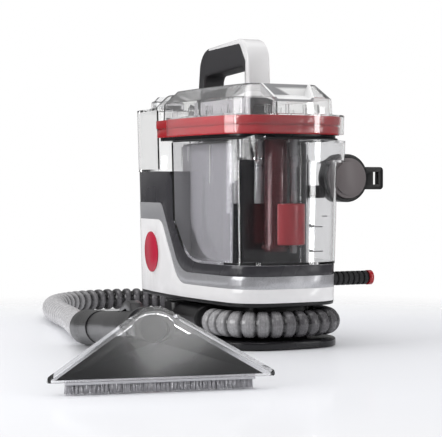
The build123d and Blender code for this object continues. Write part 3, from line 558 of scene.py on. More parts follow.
@dataclass(frozen=True)
class Rubber:
    """Moulded soft rubber: dull, with a dusty bloom that lightens it in patches.

    Attributes:
        name: The material's name.
        colour: sRGB hex.
        bloom_mm: The spacing of the patches.
        dust: What a patch multiplies the colour by, and adds to it.
        bump: How strongly the patches stand out.
        depth_mm: How deep they are.
        roughness: Surface roughness.
    """

    name: str
    colour: str = "#232325"
    bloom_mm: float = 16.67
    dust: tuple[float, float] = (1.5, 0.004)
    bump: float = 0.2
    depth_mm: float = 0.2
    roughness: float = 0.72

    def make(self) -> Any:
        """Builds the material.

        Returns:
            The Blender material.
        """
        material, tree = blank_material(self.name)
        place = add_node(tree, "TexCoord").outputs["Object"]
        bloom = add_node(tree, "TexNoise", sockets={
            "Vector": place, "Scale": per_metre(self.bloom_mm), "Detail": 5.0})
        base = linear(self.colour)
        tint = add_node(tree, "MixRGB", sockets={
            "Fac": bloom.outputs["Fac"], "Color1": base, "Color2": shaded(base, *self.dust)})
        bump = add_node(tree, "Bump", sockets={
            "Height": bloom.outputs["Fac"], "Strength": self.bump,
            "Distance": self.depth_mm * MM})
        shader = add_node(tree, "BsdfPrincipled", sockets={
            "Base Color": tint.outputs[0], "Roughness": self.roughness,
            "Normal": bump.outputs[0]})
        finish_tree(tree, shader.outputs[0])
        return material


@dataclass(frozen=True)
class BrushedSteel:
    """Plain drawn steel: long fine scratches that stretch the highlight.

    Attributes:
        name: The material's name.
        colour: sRGB hex.
        scratch_mm: The scratches' spacing across, and their length. The real ones are finer.
        roughness: The least and the most rough spot.
    """

    name: str
    colour: str = "#b9babd"
    scratch_mm: tuple[float, float] = (1.11, 25.0)
    roughness: tuple[float, float] = (0.2, 0.42)

    def make(self) -> Any:
        """Builds the material.

        Returns:
            The Blender material.
        """
        material, tree = blank_material(self.name)
        place = add_node(tree, "TexCoord").outputs["Object"]
        across, along = (per_metre(spacing) for spacing in self.scratch_mm)
        stretched = add_node(tree, "Mapping", sockets={
            "Vector": place, "Scale": (across, across, along)})
        scratch = add_node(tree, "TexNoise", sockets={
            "Vector": stretched.outputs[0], "Scale": 1.0})
        rough = add_node(tree, "MapRange", sockets={
            "Value": scratch.outputs["Fac"], "To Min": self.roughness[0],
            "To Max": self.roughness[1]})
        shader = add_node(tree, "BsdfPrincipled", sockets={
            "Base Color": linear(self.colour), "Metallic": 1.0, "Roughness": rough.outputs[0]})
        finish_tree(tree, shader.outputs[0])
        return material


class Finish(Enum):
    """Every finish that the machine has. Each comment says what it gives the eye."""

    # Polished mould: bright and even, with soft mirrored highlights.
    WHITE_SHELL = MouldedPlastic("white gloss ABS", "#f3f2f3", 0.22, 2.0, 0.03, 0.3)
    # Flakes under a clear lacquer: a satin grey that brightens where it bends.
    SILVER_BAND = SilverPaint("silver painted ABS", "#bdbdc1")
    # Fine spark texture: a dark frame with a broad, dull sheen.
    GUARD = MouldedPlastic("dark grey satin ABS", "#3b3a3e", 0.26, 1.2, 0.04)
    # As smooth as the frame but mirrors less, so it stays nearly black.
    CUFF = MouldedPlastic("dark grey hose cuff", "#161518", 0.26, 1.2, 0.04, ior=1.35)
    # A shade blacker than the frame, for the deck, the neck and the base.
    DARK = MouldedPlastic("charcoal ABS", "#1f1e21", 0.26, 1.2, 0.05)
    # Matt and slightly waxy, as moulded polypropylene is.
    BLACK = MouldedPlastic("black polypropylene", "#151416", 0.34, 1.4, 0.1)
    # Painted light and shade by facing: grey broad sides, and a black front and back painted as
    # shade.
    COLUMN = FacingShadePlastic("housing ABS with painted shade", "#acaaae", "#19181b")
    # Satin and pale, so the tank's floor reads lighter than its frame.
    TRAY = MouldedPlastic("pale grey satin ABS", "#a9a8ac", 0.4)
    # A smooth black face that shows one soft light from above.
    PLATE = MouldedPlastic("black gloss ABS", "#101012", 0.3, 1.6, 0.02)
    # Plain unpolished moulding, for what is inside.
    GREY = MouldedPlastic("pale grey ABS", "#b4b4b7", 0.3)
    # Painted light and shade under the clear dome: white painted on its level faces as light, and
    # grey on its walls as shade.
    POCKET = FacingShadePlastic("pocket ABS with painted light and shade", "#fafafa", "#9b9b9d", "Z", 0.4)
    # A slightly warm, flat grey, as on a brush's back.
    DISC = MouldedPlastic("warm grey ABS", "#716a6b", 0.36)
    # Soft-touch skin: a fine grain with almost no mirror.
    HANDLE = MouldedPlastic("soft-touch grey grip", "#39383b", 0.5, 0.9, 0.16)
    # Deep red under a gloss coat, with crisp highlights on the ring's edges.
    RED = MouldedPlastic("deep red gloss ABS", "#aa1e27", 0.2, 2.0, 0.02, 0.3)
    # A colder red than the ring, even and glossy.
    RED_MARK = MouldedPlastic("crimson gloss ABS", "#c01e3e", 0.24, 2.0, 0.02)
    # Duller brick red, seen through the tank's wall.
    FLOAT = MouldedPlastic("brick red float", "#ad4046", 0.3, 1.6, 0.03)
    # Glass-clear wall, with faint waves in what is seen through it.
    CLEAR = ClearPlastic("clear SAN", "#fefefe")
    # Clear but softly blurred, so what is behind it glows a little.
    SATIN_CLEAR = ClearPlastic("satin clear polycarbonate", "#f8f8f9", 0.1)
    # Clear with a grey cast that adds up through two walls.
    SMOKY = ClearPlastic("smoky SAN", "#f4f4f5")
    # Clear with a light scatter, which whitens the facets against the backdrop.
    DOME = ClearPlastic("clear lid SAN", "#fefefe", 0.0, 1.45, 0.04)
    # A milky wall, so thin tubes still show in front of a dark housing.
    TUBE = ThinPlastic("clear tube", "#f4f4f5", "#f6f6f7", 0.26)
    # A frosted edge that catches light as a pale line.
    RIB = ThinPlastic("frosted rib", "#f4f4f5", "#ffffff", 0.6)
    # A clear tube with a dull red cast.
    ROSE = ThinPlastic("rose tinted tube", "#d6bec1", "#a5545c", 0.14)
    # Black with a dusty bloom, and no highlight.
    RUBBER = Rubber("black rubber")
    # Bright metal with a stretched highlight.
    STEEL = BrushedSteel("drawn steel")
    # Dark ribs on the wrap with grooves painted dark as shade, and ribs painted pale where the
    # hose is stretched on the floor, as a painted reflection of the bright surround.
    HOSE = RibbedPlastic("grey ribbed hose", "#5e5c5f", "#121113", "#cfced0", "#59585a")
    # Dull pale nylon, with dark gaps between the filaments.
    BRISTLE = MouldedPlastic("grey nylon tufts", "#c9c8cc", 0.5, 0.5, 0.3)
    # Flat black ink.
    MARK = MouldedPlastic("black printed mark", "#1c1b1d", 0.5)


MADE: dict[Finish, Any] = {}


def material_for(finish: Finish) -> Any:
    """Finds a finish's material, and makes it the first time.

    Args:
        finish: The finish.

    Returns:
        The Blender material.
    """
    if finish not in MADE:
        MADE[finish] = finish.value.make()
    return MADE[finish]


# --- The CAD pieces that show as they are -----------------------------------------------------


@dataclass
class Housework:
    """Gives each CAD node its finish and its smooth, softly edged look.

    Attributes:
        radius_mm: The edge radius of hard plastic nodes.
        join_mm: Loose triangles' corners closer than this are joined.
        crisp: Edges of clear walls sharper than this stay crisp, in degrees.
        coats: The finish of each node.
    """

    radius_mm: float = 0.5
    join_mm: float = 0.002
    crisp: float = 28.0
    coats: dict[str, Finish] = field(default_factory=lambda: {
        "grip_mat": Finish.RUBBER, "base_plate": Finish.DARK, "base_screws": Finish.STEEL,
        "waist_drum": Finish.BLACK, "exhaust_grille": Finish.BLACK, "hose_port": Finish.BLACK,
        "base_skirt": Finish.BLACK, "lower_shell": Finish.WHITE_SHELL,
        "accent_band": Finish.SILVER_BAND, "side_guard": Finish.GUARD,
        "cord_bushing": Finish.BLACK, "badge": Finish.RED_MARK, "tank_tray": Finish.TRAY,
        "rear_deck": Finish.DARK, "motor_housing": Finish.COLUMN, "motor_can": Finish.GREY,
        "motor_bearings": Finish.STEEL, "motor_shaft": Finish.STEEL, "fan": Finish.GREY,
        "carry_handle": Finish.HANDLE, "handle_cover": Finish.WHITE_SHELL,
        "dirty_tank": Finish.SMOKY, "lid_gasket": Finish.RUBBER, "lid_base": Finish.DARK,
        "lid_ring": Finish.RED, "lid_dome": Finish.DOME, "lid_grip": Finish.POCKET,
        "standpipe": Finish.ROSE, "guide_tube": Finish.TUBE, "float": Finish.FLOAT,
        "clean_tank": Finish.CLEAR, "tank_cap": Finish.SMOKY, "cap_gasket": Finish.RUBBER,
        "tank_valve": Finish.BLACK, "pump": Finish.BLACK, "supply_tube": Finish.CLEAR,
        "power_button": Finish.RED, "switch_box": Finish.BLACK, "tool_clip": Finish.BLACK,
        "clip_screws": Finish.STEEL, "stored_brush": Finish.DISC, "storage_post": Finish.RUBBER,
        "post_cap": Finish.RED, "tool_cuff": Finish.CUFF, "tool_handle": Finish.CUFF,
        "trigger": Finish.DARK, "trigger_pin": Finish.STEEL, "spray_valve": Finish.BLACK,
        "valve_plunger": Finish.STEEL, "tool_neck": Finish.DARK,
        "nozzle_cover": Finish.SATIN_CLEAR, "nozzle_body": Finish.PLATE, "spray_tip": Finish.RED,
    })

    def dress(self) -> None:
        """Puts the finishes on, and smooths what is curved."""
        for name, finish in self.coats.items():
            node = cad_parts[name]
            node.data.materials.clear()
            node.data.materials.append(material_for(finish))
            for face in node.data.polygons:
                face.material_index = 0
                face.use_smooth = True
            self.soften(node, isinstance(finish.value, ClearPlastic))
            LOG.info("dressed %s in %s", name, finish.value.name)

    def soften(self, node: Any, clear: bool) -> None:
        """Joins a node's loose faces and rounds or splits its sharp edges.

        Args:
            node: The CAD node's object.
            clear: Whether it is a clear wall, whose edges stay crisp.
        """
        weld = node.modifiers.new("joined faces", "WELD")
        weld.merge_threshold = self.join_mm * MM
        if clear:
            split = node.modifiers.new("crisp edges", "EDGE_SPLIT")
            split.split_angle = math.radians(self.crisp)
        else:
            rounded_edges(node, self.radius_mm)


# --- The hose ---------------------------------------------------------------------------------


@dataclass
class Hose:
    """The stretchy ribbed hose, from the machine's cuff to the hand tool's cuff.

    Attributes:
        diameter: Its outer diameter.
        route: The points that it is led by, in millimetres.
        wrap_pitch: The ribs' spacing where it is wrapped round the waist.
        tool_pitch: Their spacing on the way to the hand tool.
        change: The share of the length where the spacing begins to change, and where it has.
        broad: One rib of the wrap: how far along the pitch, and the share of the full radius.
        slim: The same for one rib on the way to the hand tool.
        groove: The share of the full radius at the bottom of a groove.
        neck: The same at the two ends, which sit in the cuffs.
        margins: How far from the start the first rib is, and from the end the last one begins.
        tail: How close to the end a rib may reach.
        facets: How many sides each ring has.
        steps: How many points are read between two points of the route.
    """

    diameter: float = 28.0
    route: Sequence[Point] = (
        (-60.5, -66.0, 26.0), (-60.5, -96.0, 26.0), (-47.0, -124.0, 26.0),
        (-17.0, -136.5, 26.0), (18.0, -137.0, 26.0), (49.0, -126.0, 26.0),
        (62.5, -98.0, 26.0), (65.0, -56.0, 26.0), (65.5, 4.0, 26.0), (64.0, 70.0, 26.0),
        (65.0, 130.0, 25.0), (80.0, 192.0, 18.0), (104.0, 250.0, 14.2), (112.0, 312.0, 14.2),
        (84.0, 366.0, 14.2), (28.0, 392.0, 14.2), (-34.0, 384.0, 14.2), (-86.0, 342.0, 14.2),
        (-114.0, 280.0, 14.2), (-128.0, 210.0, 14.2), (-139.0, 145.0, 14.2),
        (-153.0, 92.0, 14.2), (-166.2, 46.4, 14.35), (-175.33, 1.55, 18.5))
    wrap_pitch: float = 13.0
    tool_pitch: float = 14.0
    change: tuple[float, float] = (0.45, 0.65)
    broad: Sequence[tuple[float, float]] = (
        (0.0, 0.76), (0.08, 0.86), (0.18, 0.97), (0.30, 0.955), (0.34, 1.0), (0.44, 0.97),
        (0.48, 1.0), (0.60, 0.955), (0.66, 0.985), (0.78, 0.96), (0.90, 0.85))
    slim: Sequence[tuple[float, float]] = (
        (0.0, 0.74), (0.08, 0.76), (0.18, 0.90), (0.32, 0.98), (0.5, 1.0), (0.68, 0.98),
        (0.82, 0.90), (0.92, 0.76))
    groove: float = 0.74
    neck: float = 0.86
    margins: tuple[float, float] = (4.0, 6.0)
    tail: float = 2.0
    facets: int = 28
    steps: int = 24

    def centreline(self) -> list[Vector]:
        """Reads points from the smooth line that the route's points lead.

        Returns:
            The line's points, in metres.
        """
        curve = bpy.data.curves.new("hose line", "CURVE")
        curve.dimensions = "3D"
        spline = curve.splines.new("NURBS")
        spline.points.add(len(self.route) - 1)
        for point, place in zip(spline.points, self.route):
            point.co = (*[c * MM for c in place], 1.0)
        spline.order_u = 3
        spline.use_endpoint_u = True
        spline.resolution_u = self.steps
        guide = bpy.data.objects.new("hose line", curve)
        mesh = bpy.data.meshes.new_from_object(guide)
        line = [v.co.copy() for v in mesh.vertices]
        bpy.data.objects.remove(guide)
        bpy.data.curves.remove(curve)
        bpy.data.meshes.remove(mesh)
        return line

    def stations(self, line: list[Vector]) -> list[tuple[Vector, float]]:
        """Places rings along the line, closer at each rib.

        Args:
            line: The centreline's points.

        Returns:
            Each ring's centre and its share of the full radius.
        """
        lengths = [0.0]
        for a, b in zip(line, line[1:]):
            lengths.append(lengths[-1] + (b - a).length)
        total = lengths[-1]
        first, last = (margin * MM for margin in self.margins)
        begin, end = self.change
        places, done = [(line[0], self.neck)], first
        while done < total - last:
            mix = min(max((done / total - begin) / (end - begin), 0.0), 1.0)
            pitch = (self.wrap_pitch * (1 - mix) + self.tool_pitch * mix) * MM
            for at, width in (self.slim if mix > 0.5 else self.broad):
                where = done + at * pitch
                if where < total - self.tail * MM:
                    places.append((self.along(line, lengths, where), width))
            done += pitch
        places.append((line[-1], self.neck))
        return places

    @staticmethod
    def along(line: list[Vector], lengths: list[float], where: float) -> Vector:
        """Finds the line's point at a distance from its start.

        Args:
            line: The line's points.
            lengths: How far along the line each one is.
            where: The distance.

        Returns:
            The point.
        """
        for i in range(1, len(lengths)):
            if lengths[i] >= where:
                span = max(lengths[i] - lengths[i - 1], 1e-9)
                return line[i - 1].lerp(line[i], (where - lengths[i - 1]) / span)
        return line[-1]

    def build(self) -> Any:
        """Returns:
            The hose's object.
        """
        line = self.centreline()
        places = self.stations(line)
        bm = bmesh.new()
        layer = bm.verts.layers.float.new(RibbedPlastic.layer)
        heading = (places[1][0] - places[0][0]).normalized()
        turn = heading.to_track_quat("Z", "Y").to_matrix().to_4x4()
        first = Matrix.Translation(places[0][0]) @ turn
        radius = self.diameter / 2 * MM
        bmesh.ops.create_circle(bm, segments=self.facets, radius=radius * places[0][1],
                                matrix=first)
        ring = bm.edges[:]
        for i in range(1, len(places)):
            (before, old), (centre, new) = places[i - 1], places[i]
            ahead = (places[min(i + 1, len(places) - 1)][0] - before).normalized()
            swing = heading.rotation_difference(ahead).to_matrix().to_4x4()
            made = bmesh.ops.extrude_edge_only(bm, edges=ring)["geom"]
            verts = [g for g in made if isinstance(g, bmesh.types.BMVert)]
            ring = [g for g in made if isinstance(g, bmesh.types.BMEdge)]
            move = (Matrix.Translation(centre) @ swing @ Matrix.Scale(new / old, 4)
                    @ Matrix.Translation(-before))
            bmesh.ops.transform(bm, matrix=move, verts=verts)
            for vert in verts:
                vert[layer] = (new - self.groove) / (1.0 - self.groove)
            heading = ahead
        bmesh.ops.holes_fill(bm, edges=[e for e in bm.edges if e.is_boundary], sides=0)
        hose = piece_from(bm, "ribbed_hose", material_for(Finish.HOSE), "machine")
        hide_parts("hose")
        return hose


# --- The brush --------------------------------------------------------------------------------


@dataclass
class Brush:
    """The nozzle's brush: a bar with rows of fine nylon filaments that splay a little.

    Attributes:
        middle: The middle of the nozzle's lower edge, in millimetres.
        yaw: How far the nozzle is turned, in degrees.
        half: Half of the brush's length.
        top: The height of the bar's top.
        bar: The bar's depth and thickness.
        edge: The radius of the bar's edges.
        rows: Where each row of tufts is, behind the nozzle's edge.
        pitch: The tufts' spacing along a row.
        strands: How many filaments a tuft has.
        trim: How much shorter a filament is than the gap under the bar, least and most.
        splay: How far they lean along the bar and across it, in radians.
        spread: How far their roots lie from the tuft's middle, along the bar and across it.
        radii: A filament's radius at its tip and at its root.
        sunk: How far the roots stand in the bar.
        seed: The start of the random draws.
    """

    middle: Point = (-249.5, -363.0, 0.0)
    yaw: float = -11.5
    half: float = 80.0
    top: float = 11.6
    bar: tuple[float, float] = (9.0, 3.0)
    edge: float = 0.4
    rows: Sequence[float] = (4.2, 6.5, 8.8)
    pitch: float = 3.6
    strands: int = 9
    trim: tuple[float, float] = (0.1, 1.3)
    splay: tuple[float, float] = (0.13, 0.1)
    spread: tuple[float, float] = (1.3, 0.8)
    radii: tuple[float, float] = (0.22, 0.34)
    sunk: float = 0.3
    seed: int = 7

    def build(self) -> Any:
        """Makes the bar and its tufts.

        Returns:
            The brush's object.
        """
        chance = random.Random(self.seed)
        bm = bmesh.new()
        deep, thick = self.bar
        size = Matrix.Diagonal((2 * self.half * MM, deep * MM, thick * MM, 1.0))
        middle_row = self.rows[len(self.rows) // 2]
        place = Matrix.Translation((0.0, middle_row * MM, (self.top - thick / 2) * MM))
        bmesh.ops.create_cube(bm, size=1.0, matrix=place @ size)
        bmesh.ops.bevel(bm, geom=bm.edges[:], offset=self.edge * MM, segments=2,
                        affect="EDGES", profile=0.5, material=-1, clamp_overlap=True)
        count = int(2 * self.half / self.pitch)
        for row in self.rows:
            for i in range(count):
                along = -self.half + self.pitch * (i + 0.5)
                self.tuft(bm, along, row, chance)
        turn = Matrix.Rotation(math.radians(self.yaw), 4, "Z")
        place = Matrix.Translation([c * MM for c in self.middle])
        bmesh.ops.transform(bm, matrix=place @ turn, verts=bm.verts[:])
        brush = piece_from(bm, "brush_tufts", material_for(Finish.BRISTLE), "nozzle")
        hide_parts("brush_strip")
        LOG.info("brush of %d tufts", count * len(self.rows))
        return brush

    def tuft(self, bm: Any, along: float, row: float, chance: random.Random) -> None:
        """Adds one bundle of filaments.

        Args:
            bm: The mesh that it goes in.
            along: Its place along the bar.
            row: Its place across the bar.
            chance: Where its small differences come from.
        """
        roots = self.top - self.bar[1]
        (splay_x, splay_y), (spread_x, spread_y) = self.splay, self.spread
        for _ in range(self.strands):
            length = (roots - chance.uniform(*self.trim)) * MM
            lean = (Matrix.Rotation(chance.uniform(-splay_x, splay_x), 4, "Y")
                    @ Matrix.Rotation(chance.uniform(-splay_y, splay_y), 4, "X"))
            root = Matrix.Translation(((along + chance.uniform(-spread_x, spread_x)) * MM,
                                       (row + chance.uniform(-spread_y, spread_y)) * MM,
                                       (roots + self.sunk) * MM))
            hang = Matrix.Translation((0.0, 0.0, -length / 2))
            tip, base = (radius * MM for radius in self.radii)
            bmesh.ops.create_cone(bm, cap_ends=True, segments=5, radius1=tip, radius2=base,
                                  depth=length, matrix=root @ lean @ hang)


# --- The tank's marks -------------------------------------------------------------------------


@dataclass
class LevelMarks:
    """Level marks at the front of the dirty tank: bare lines with no words.

    They stand off its face by about 1 mm instead of lying on it.

    Attributes:
        lines: Each mark's left end and its right end, in millimetres.
        height: How tall a line is.
        proud: How thick the ink is.
    """

    lines: Sequence[tuple[Point, Point]] = (
        ((30.5, -144.7, 138.0), (38.0, -142.5, 138.0)),
        ((14.0, -145.6, 127.0), (31.0, -144.6, 127.0)),
        ((14.0, -145.6, 128.2), (20.5, -145.3, 128.2)),
        ((14.0, -145.6, 129.4), (17.0, -145.4, 129.4)),
        ((15.0, -145.1, 101.5), (32.0, -143.8, 101.5)),
        ((15.0, -145.1, 102.7), (19.0, -144.9, 102.7)))
    height: float = 0.9
    proud: float = 0.15

    def build(self) -> Any:
        """Makes the marks.

        Returns:
            Their object.
        """
        bm = bmesh.new()
        for left, right in self.lines:
            a, b = Vector(left) * MM, Vector(right) * MM
            run = b - a
            turn = run.to_track_quat("X", "Z").to_matrix().to_4x4()
            size = Matrix.Diagonal((run.length, self.proud * MM, self.height * MM, 1.0))
            middle = Matrix.Translation((a + b) / 2)
            bmesh.ops.create_cube(bm, size=1.0, matrix=middle @ turn @ size)
        return piece_from(bm, "level_marks", material_for(Finish.MARK), "dirty_tank", False)


@dataclass
class TankRibs:
    """Short stiffening ribs at the dirty tank's left wall, under its rim.

    They stand in a straight row and the wall curves, so none is seated on its inner face.

    Attributes:
        row_x: Where the ribs' middles are, in millimetres.
        places: Each rib's place along the wall, and its lower end.
        top: Where the ribs end.
        deep: A rib's depth from left to right.
        thick: How thick it is.
        taper: The share of its depth that it loses at its lower end.
    """

    row_x: float = -69.5
    places: Sequence[tuple[float, float]] = ((-17.0, 190.0), (-34.0, 196.0), (-84.0, 172.0))
    top: float = 212.0
    deep: float = 2.0
    thick: float = 0.9
    taper: float = 0.7

    def build(self) -> Any:
        """Makes the ribs.

        Returns:
            Their object.
        """
        bm = bmesh.new()
        for along, foot in self.places:
            tall = self.top - foot
            size = Matrix.Diagonal((self.deep * MM, self.thick * MM, tall * MM, 1.0))
            place = Matrix.Translation((self.row_x * MM, along * MM, (foot + tall / 2) * MM))
            made = bmesh.ops.create_cube(bm, size=1.0, matrix=place @ size)["verts"]
            middle = place.translation
            low = [v for v in made if v.co.z < middle.z and v.co.x > middle.x]
            bmesh.ops.translate(bm, vec=(-self.deep * self.taper * MM, 0.0, 0.0), verts=low)
        return piece_from(bm, "tank_ribs", material_for(Finish.RIB), "dirty_tank", False)


# --- The springs ------------------------------------------------------------------------------


@dataclass(frozen=True)
class Spring:
    """A coil spring, copied from its CAD coil onto the body of its fixed end.

    Attributes:
        node: The CAD node that it stands for.
        body: The body of its fixed end.
        joint: The joint that squeezes it. Not used.
        axis: The direction that it shortens along. Not used.
        fixed: Which end stays: 0 for the low end of the axis, 1 for the high end. Not used.
        travel: How much the joint shortens it by, in millimetres. Not used.
    """

    node: str
    body: str
    joint: str
    axis: Point
    fixed: int
    travel: float

    def build(self) -> Any:
        """Makes the spring from its CAD coil.

        Returns:
            Its object.
        """
        bm = bmesh.new()
        bm.from_mesh(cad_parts[self.node].data)
        piece = piece_from(bm, self.node + "_coil", material_for(Finish.STEEL), self.body)
        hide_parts(self.node)
        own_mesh(piece)
        return piece


SPRINGS = (
    Spring("valve_spring", "clean_tank", "valve_open", (0.0, 0.0, 1.0), 1, 3.6),
    Spring("button_spring", "machine", "power_button_press", (0.0, 1.0, 0.0), 0, 3.1),
    Spring("trigger_spring", "machine", "trigger_press", (0.0, 0.0, 1.0), 0, 4.0),
)


# --- Studio -----------------------------------------------------------------------------------


@dataclass(frozen=True)
class Patch:
    """A soft-edged patch of the surround, lighter or darker than the rest of it.

    Attributes:
        aim: The direction of the patch's middle.
        edge: The cosine at which the patch begins.
        core: The cosine from which it is full.
        inside: How light it is inside.
        outside: How light it is outside.
    """

    aim: Point
    edge: float
    core: float
    inside: float
    outside: float = 1.0

    def light(self, tree: Any, way: Any) -> Any:
        """Adds the patch to the surround.

        Args:
            tree: The world's node tree.
            way: The output that gives the ray's direction.

        Returns:
            The output with the light's strength.
        """
        middle = tuple(Vector(self.aim).normalized())
        facing = add_node(tree, "VectorMath", {"operation": "DOT_PRODUCT"}, {0: way, 1: middle})
        patch = add_node(tree, "MapRange", {"interpolation_type": "SMOOTHSTEP"}, {
            "Value": facing.outputs["Value"], "From Min": self.edge, "From Max": self.core,
            "To Min": self.outside, "To Max": self.inside})
        return patch.outputs[0]


@dataclass(frozen=True)
class Lamp:
    """An oblong area lamp that the camera doesn't see.

    Attributes:
        name: The lamp's name.
        place: Where it hangs, in metres.
        size: Its width and its height, in metres.
        watts: Its power.
        aim: What it points at, in metres.
        spares_floor: Whether the floor neither takes its light nor mirrors it.
    """

    name: str
    place: Point
    size: tuple[float, float]
    watts: float
    aim: Point = (0.0, 0.0, 0.15)
    spares_floor: bool = False

    def hang(self, floor: Any) -> None:
        """Adds the lamp.

        Args:
            floor: The floor's object.
        """
        light = bpy.data.lights.new(self.name, "AREA")
        light.shape = "RECTANGLE"
        light.size, light.size_y = self.size
        light.energy = self.watts
        holder = bpy.data.objects.new(self.name, light)
        holder.location = self.place
        heading = Vector(self.aim) - Vector(self.place)
        holder.rotation_euler = heading.to_track_quat("-Z", "Y").to_euler()
        holder.visible_camera = False
        bpy.context.scene.collection.objects.link(holder)
        if self.spares_floor:
            spared = bpy.data.collections.new("spared by the " + self.name)
            spared.objects.link(floor)
            spared.collection_objects[0].light_linking.link_state = "EXCLUDE"
            holder.light_linking.receiver_collection = spared


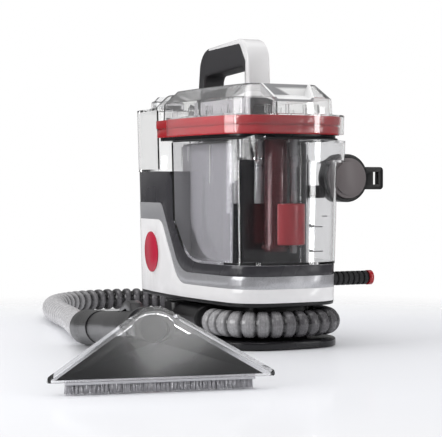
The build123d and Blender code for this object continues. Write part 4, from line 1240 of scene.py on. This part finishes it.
@dataclass
class Studio:
    """A plain pale floor, a pale surround, soft lamps and the camera.

    Attributes:
        camera_at: The camera's place, in millimetres.
        azimuth: The view's direction, in degrees from +Y towards +X.
        pitch: How far it looks down, in degrees.
        lens: Focal length for a frame 36 mm wide.
        clip_end: How far the camera sees, in metres.
        floor_half: Half of the floor's side, in metres.
        floor_middle: The middle of the part of the floor that shows, in metres.
        floor_fade: How far from there the floor begins to fade, and where it is gone.
        floor_shine: The share of the floor's light that is mirrored.
        floor_roughness: The least and the most rough place on it.
        cloud_mm: The spacing of those places.
        flag_light: How light the flags beside the white backdrop are in what mirrors them.
        clear_light: How light they are through a clear wall.
        mirror_light: How light the backdrop is in what mirrors it.
        backdrop_rise: How far up the backdrop's middle is.
        backdrop: The cosines at which it begins and is full.
        corner: A dark flag at the front left, in all light.
        above: A light panel overhead, seen only in what mirrors it.
        lamps: The lamps, in order.
    """

    camera_at: Point = (-727.9, -1429.8, 170.4)
    azimuth: float = 26.5
    pitch: float = 1.342
    lens: float = 116.47
    clip_end: float = 100.0
    floor_half: float = 40.0
    floor_middle: Point = (-0.08, -0.12, 0.0)
    floor_fade: tuple[float, float] = (0.34, 0.8)
    floor_shine: float = 0.2
    floor_roughness: tuple[float, float] = (0.10, 0.18)
    cloud_mm: float = 333.3
    flag_light: float = 0.08
    clear_light: float = 0.35
    mirror_light: float = 0.3
    backdrop_rise: float = 0.35
    backdrop: tuple[float, float] = (0.62, 0.82)
    corner: Patch = Patch((-0.84, -0.54, 0.0), 0.30, 0.80, 0.05)
    above: Patch = Patch((0.0, 0.0, 1.0), 0.88, 0.98, 1.0, 0.0)
    lamps: Sequence[Lamp] = (
        Lamp("top lamp", (0.1, 0.1, 1.5), (1.2, 1.2), 4.0),
        Lamp("left lamp", (-1.5, 0.2, 0.5), (0.8, 0.8), 10.0),
        Lamp("nozzle lamp", (-0.114, -0.69, 0.757), (0.2, 0.2), 0.45,
             aim=(-0.25, -0.345, 0.052), spares_floor=True),
        Lamp("left strip", (-1.15, -0.25, 0.35), (0.07, 0.9), 2.6),
        Lamp("right strip", (0.75, -1.1, 0.35), (0.07, 0.9), 2.2))

    def build(self) -> None:
        """Makes the floor, the surround, the lamps and the camera."""
        floor = self.floor()
        self.surround()
        for lamp in self.lamps:
            lamp.hang(floor)
        self.camera()

    def floor(self) -> Any:
        """Makes a wide pale sheet with a wet shine, which fades into the surround.

        Returns:
            The floor's object.
        """
        material, tree = blank_material("pale floor")
        place = add_node(tree, "TexCoord").outputs["Object"]
        cloud = add_node(tree, "TexNoise", sockets={
            "Vector": place, "Scale": per_metre(self.cloud_mm)})
        rough = add_node(tree, "MapRange", sockets={
            "Value": cloud.outputs["Fac"], "To Min": self.floor_roughness[0],
            "To Max": self.floor_roughness[1]})
        matt = add_node(tree, "BsdfDiffuse", sockets={"Color": linear("#fafbff")})
        wet = add_node(tree, "BsdfGlossy", sockets={"Roughness": rough.outputs[0]})
        sheet = add_node(tree, "MixShader", sockets={
            0: self.floor_shine, 1: matt.outputs[0], 2: wet.outputs[0]})
        middle = add_node(tree, "VectorMath", {"operation": "SUBTRACT"}, {
            0: place, 1: self.floor_middle})
        away = add_node(tree, "VectorMath", {"operation": "LENGTH"}, {0: middle.outputs[0]})
        fade = add_node(tree, "MapRange", {"interpolation_type": "SMOOTHSTEP"}, {
            "Value": away.outputs["Value"], "From Min": self.floor_fade[0],
            "From Max": self.floor_fade[1]})
        clear = add_node(tree, "BsdfTransparent")
        both = add_node(tree, "MixShader", sockets={
            0: fade.outputs[0], 1: sheet.outputs[0], 2: clear.outputs[0]})
        finish_tree(tree, both.outputs[0])
        bm = bmesh.new()
        bmesh.ops.create_grid(bm, x_segments=2, y_segments=2, size=self.floor_half)
        mesh = bpy.data.meshes.new("floor")
        bm.to_mesh(mesh)
        bm.free()
        mesh.materials.append(material)
        floor = bpy.data.objects.new("floor", mesh)
        bpy.context.scene.collection.objects.link(floor)
        return floor

    def surround(self) -> None:
        """A white surround with dark flags, which the glossy and the clear pieces mirror."""
        world = bpy.data.worlds.new("studio")
        world.use_nodes = True
        tree = world.node_tree
        back = tree.nodes["Background"]
        back.inputs["Color"].default_value = (1.0, 1.0, 1.0, 1.0)
        way = add_node(tree, "TexCoord").outputs["Generated"]
        ray = add_node(tree, "LightPath")
        corner = self.corner.light(tree, way)
        turn = math.radians(self.azimuth)
        ahead = (math.sin(turn), math.cos(turn), self.backdrop_rise)
        in_gloss = Patch(ahead, *self.backdrop, self.mirror_light, self.flag_light)
        through = Patch(ahead, *self.backdrop, 1.0, self.clear_light)
        behind = add_node(tree, "Mix", sockets={
            0: ray.outputs["Is Transmission Ray"], 2: in_gloss.light(tree, way),
            3: through.light(tree, way)})
        sides = add_node(tree, "Math", {"operation": "MAXIMUM"}, {
            0: behind.outputs[0], 1: self.above.light(tree, way)})
        mirror = add_node(tree, "Math", {"operation": "MULTIPLY"}, {
            0: sides.outputs[0], 1: corner})
        bounced = add_node(tree, "Mix", sockets={
            0: ray.outputs["Is Diffuse Ray"], 2: mirror.outputs[0], 3: corner})
        light = add_node(tree, "Mix", sockets={
            0: ray.outputs["Is Camera Ray"], 2: bounced.outputs[0], 3: 1.0})
        tree.links.new(light.outputs[0], back.inputs["Strength"])
        bpy.context.scene.world = world
        bpy.context.scene.view_settings.view_transform = "Standard"

    def camera(self) -> None:
        """The camera, at the viewing angle of a catalogue picture."""
        lens = bpy.data.cameras.new("camera")
        lens.lens = self.lens
        lens.sensor_width = 36.0
        lens.clip_end = self.clip_end
        holder = bpy.data.objects.new("camera", lens)
        holder.location = [c * MM for c in self.camera_at]
        turn, tip = math.radians(self.azimuth), math.radians(self.pitch)
        heading = Vector((math.sin(turn) * math.cos(tip), math.cos(turn) * math.cos(tip),
                          -math.sin(tip)))
        holder.rotation_euler = heading.to_track_quat("-Z", "Y").to_euler()
        bpy.context.scene.collection.objects.link(holder)
        bpy.context.scene.camera = holder


# --- Making -----------------------------------------------------------------------------------


def main() -> None:
    """Builds the studio and every piece in order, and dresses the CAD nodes."""
    logging.basicConfig(level=logging.INFO)
    Studio().build()
    Hose().build()
    Brush().build()
    LevelMarks().build()
    TankRibs().build()
    for spring in SPRINGS:
        spring.build()
    Housework().dress()


if __name__ == "__main__":
    main()
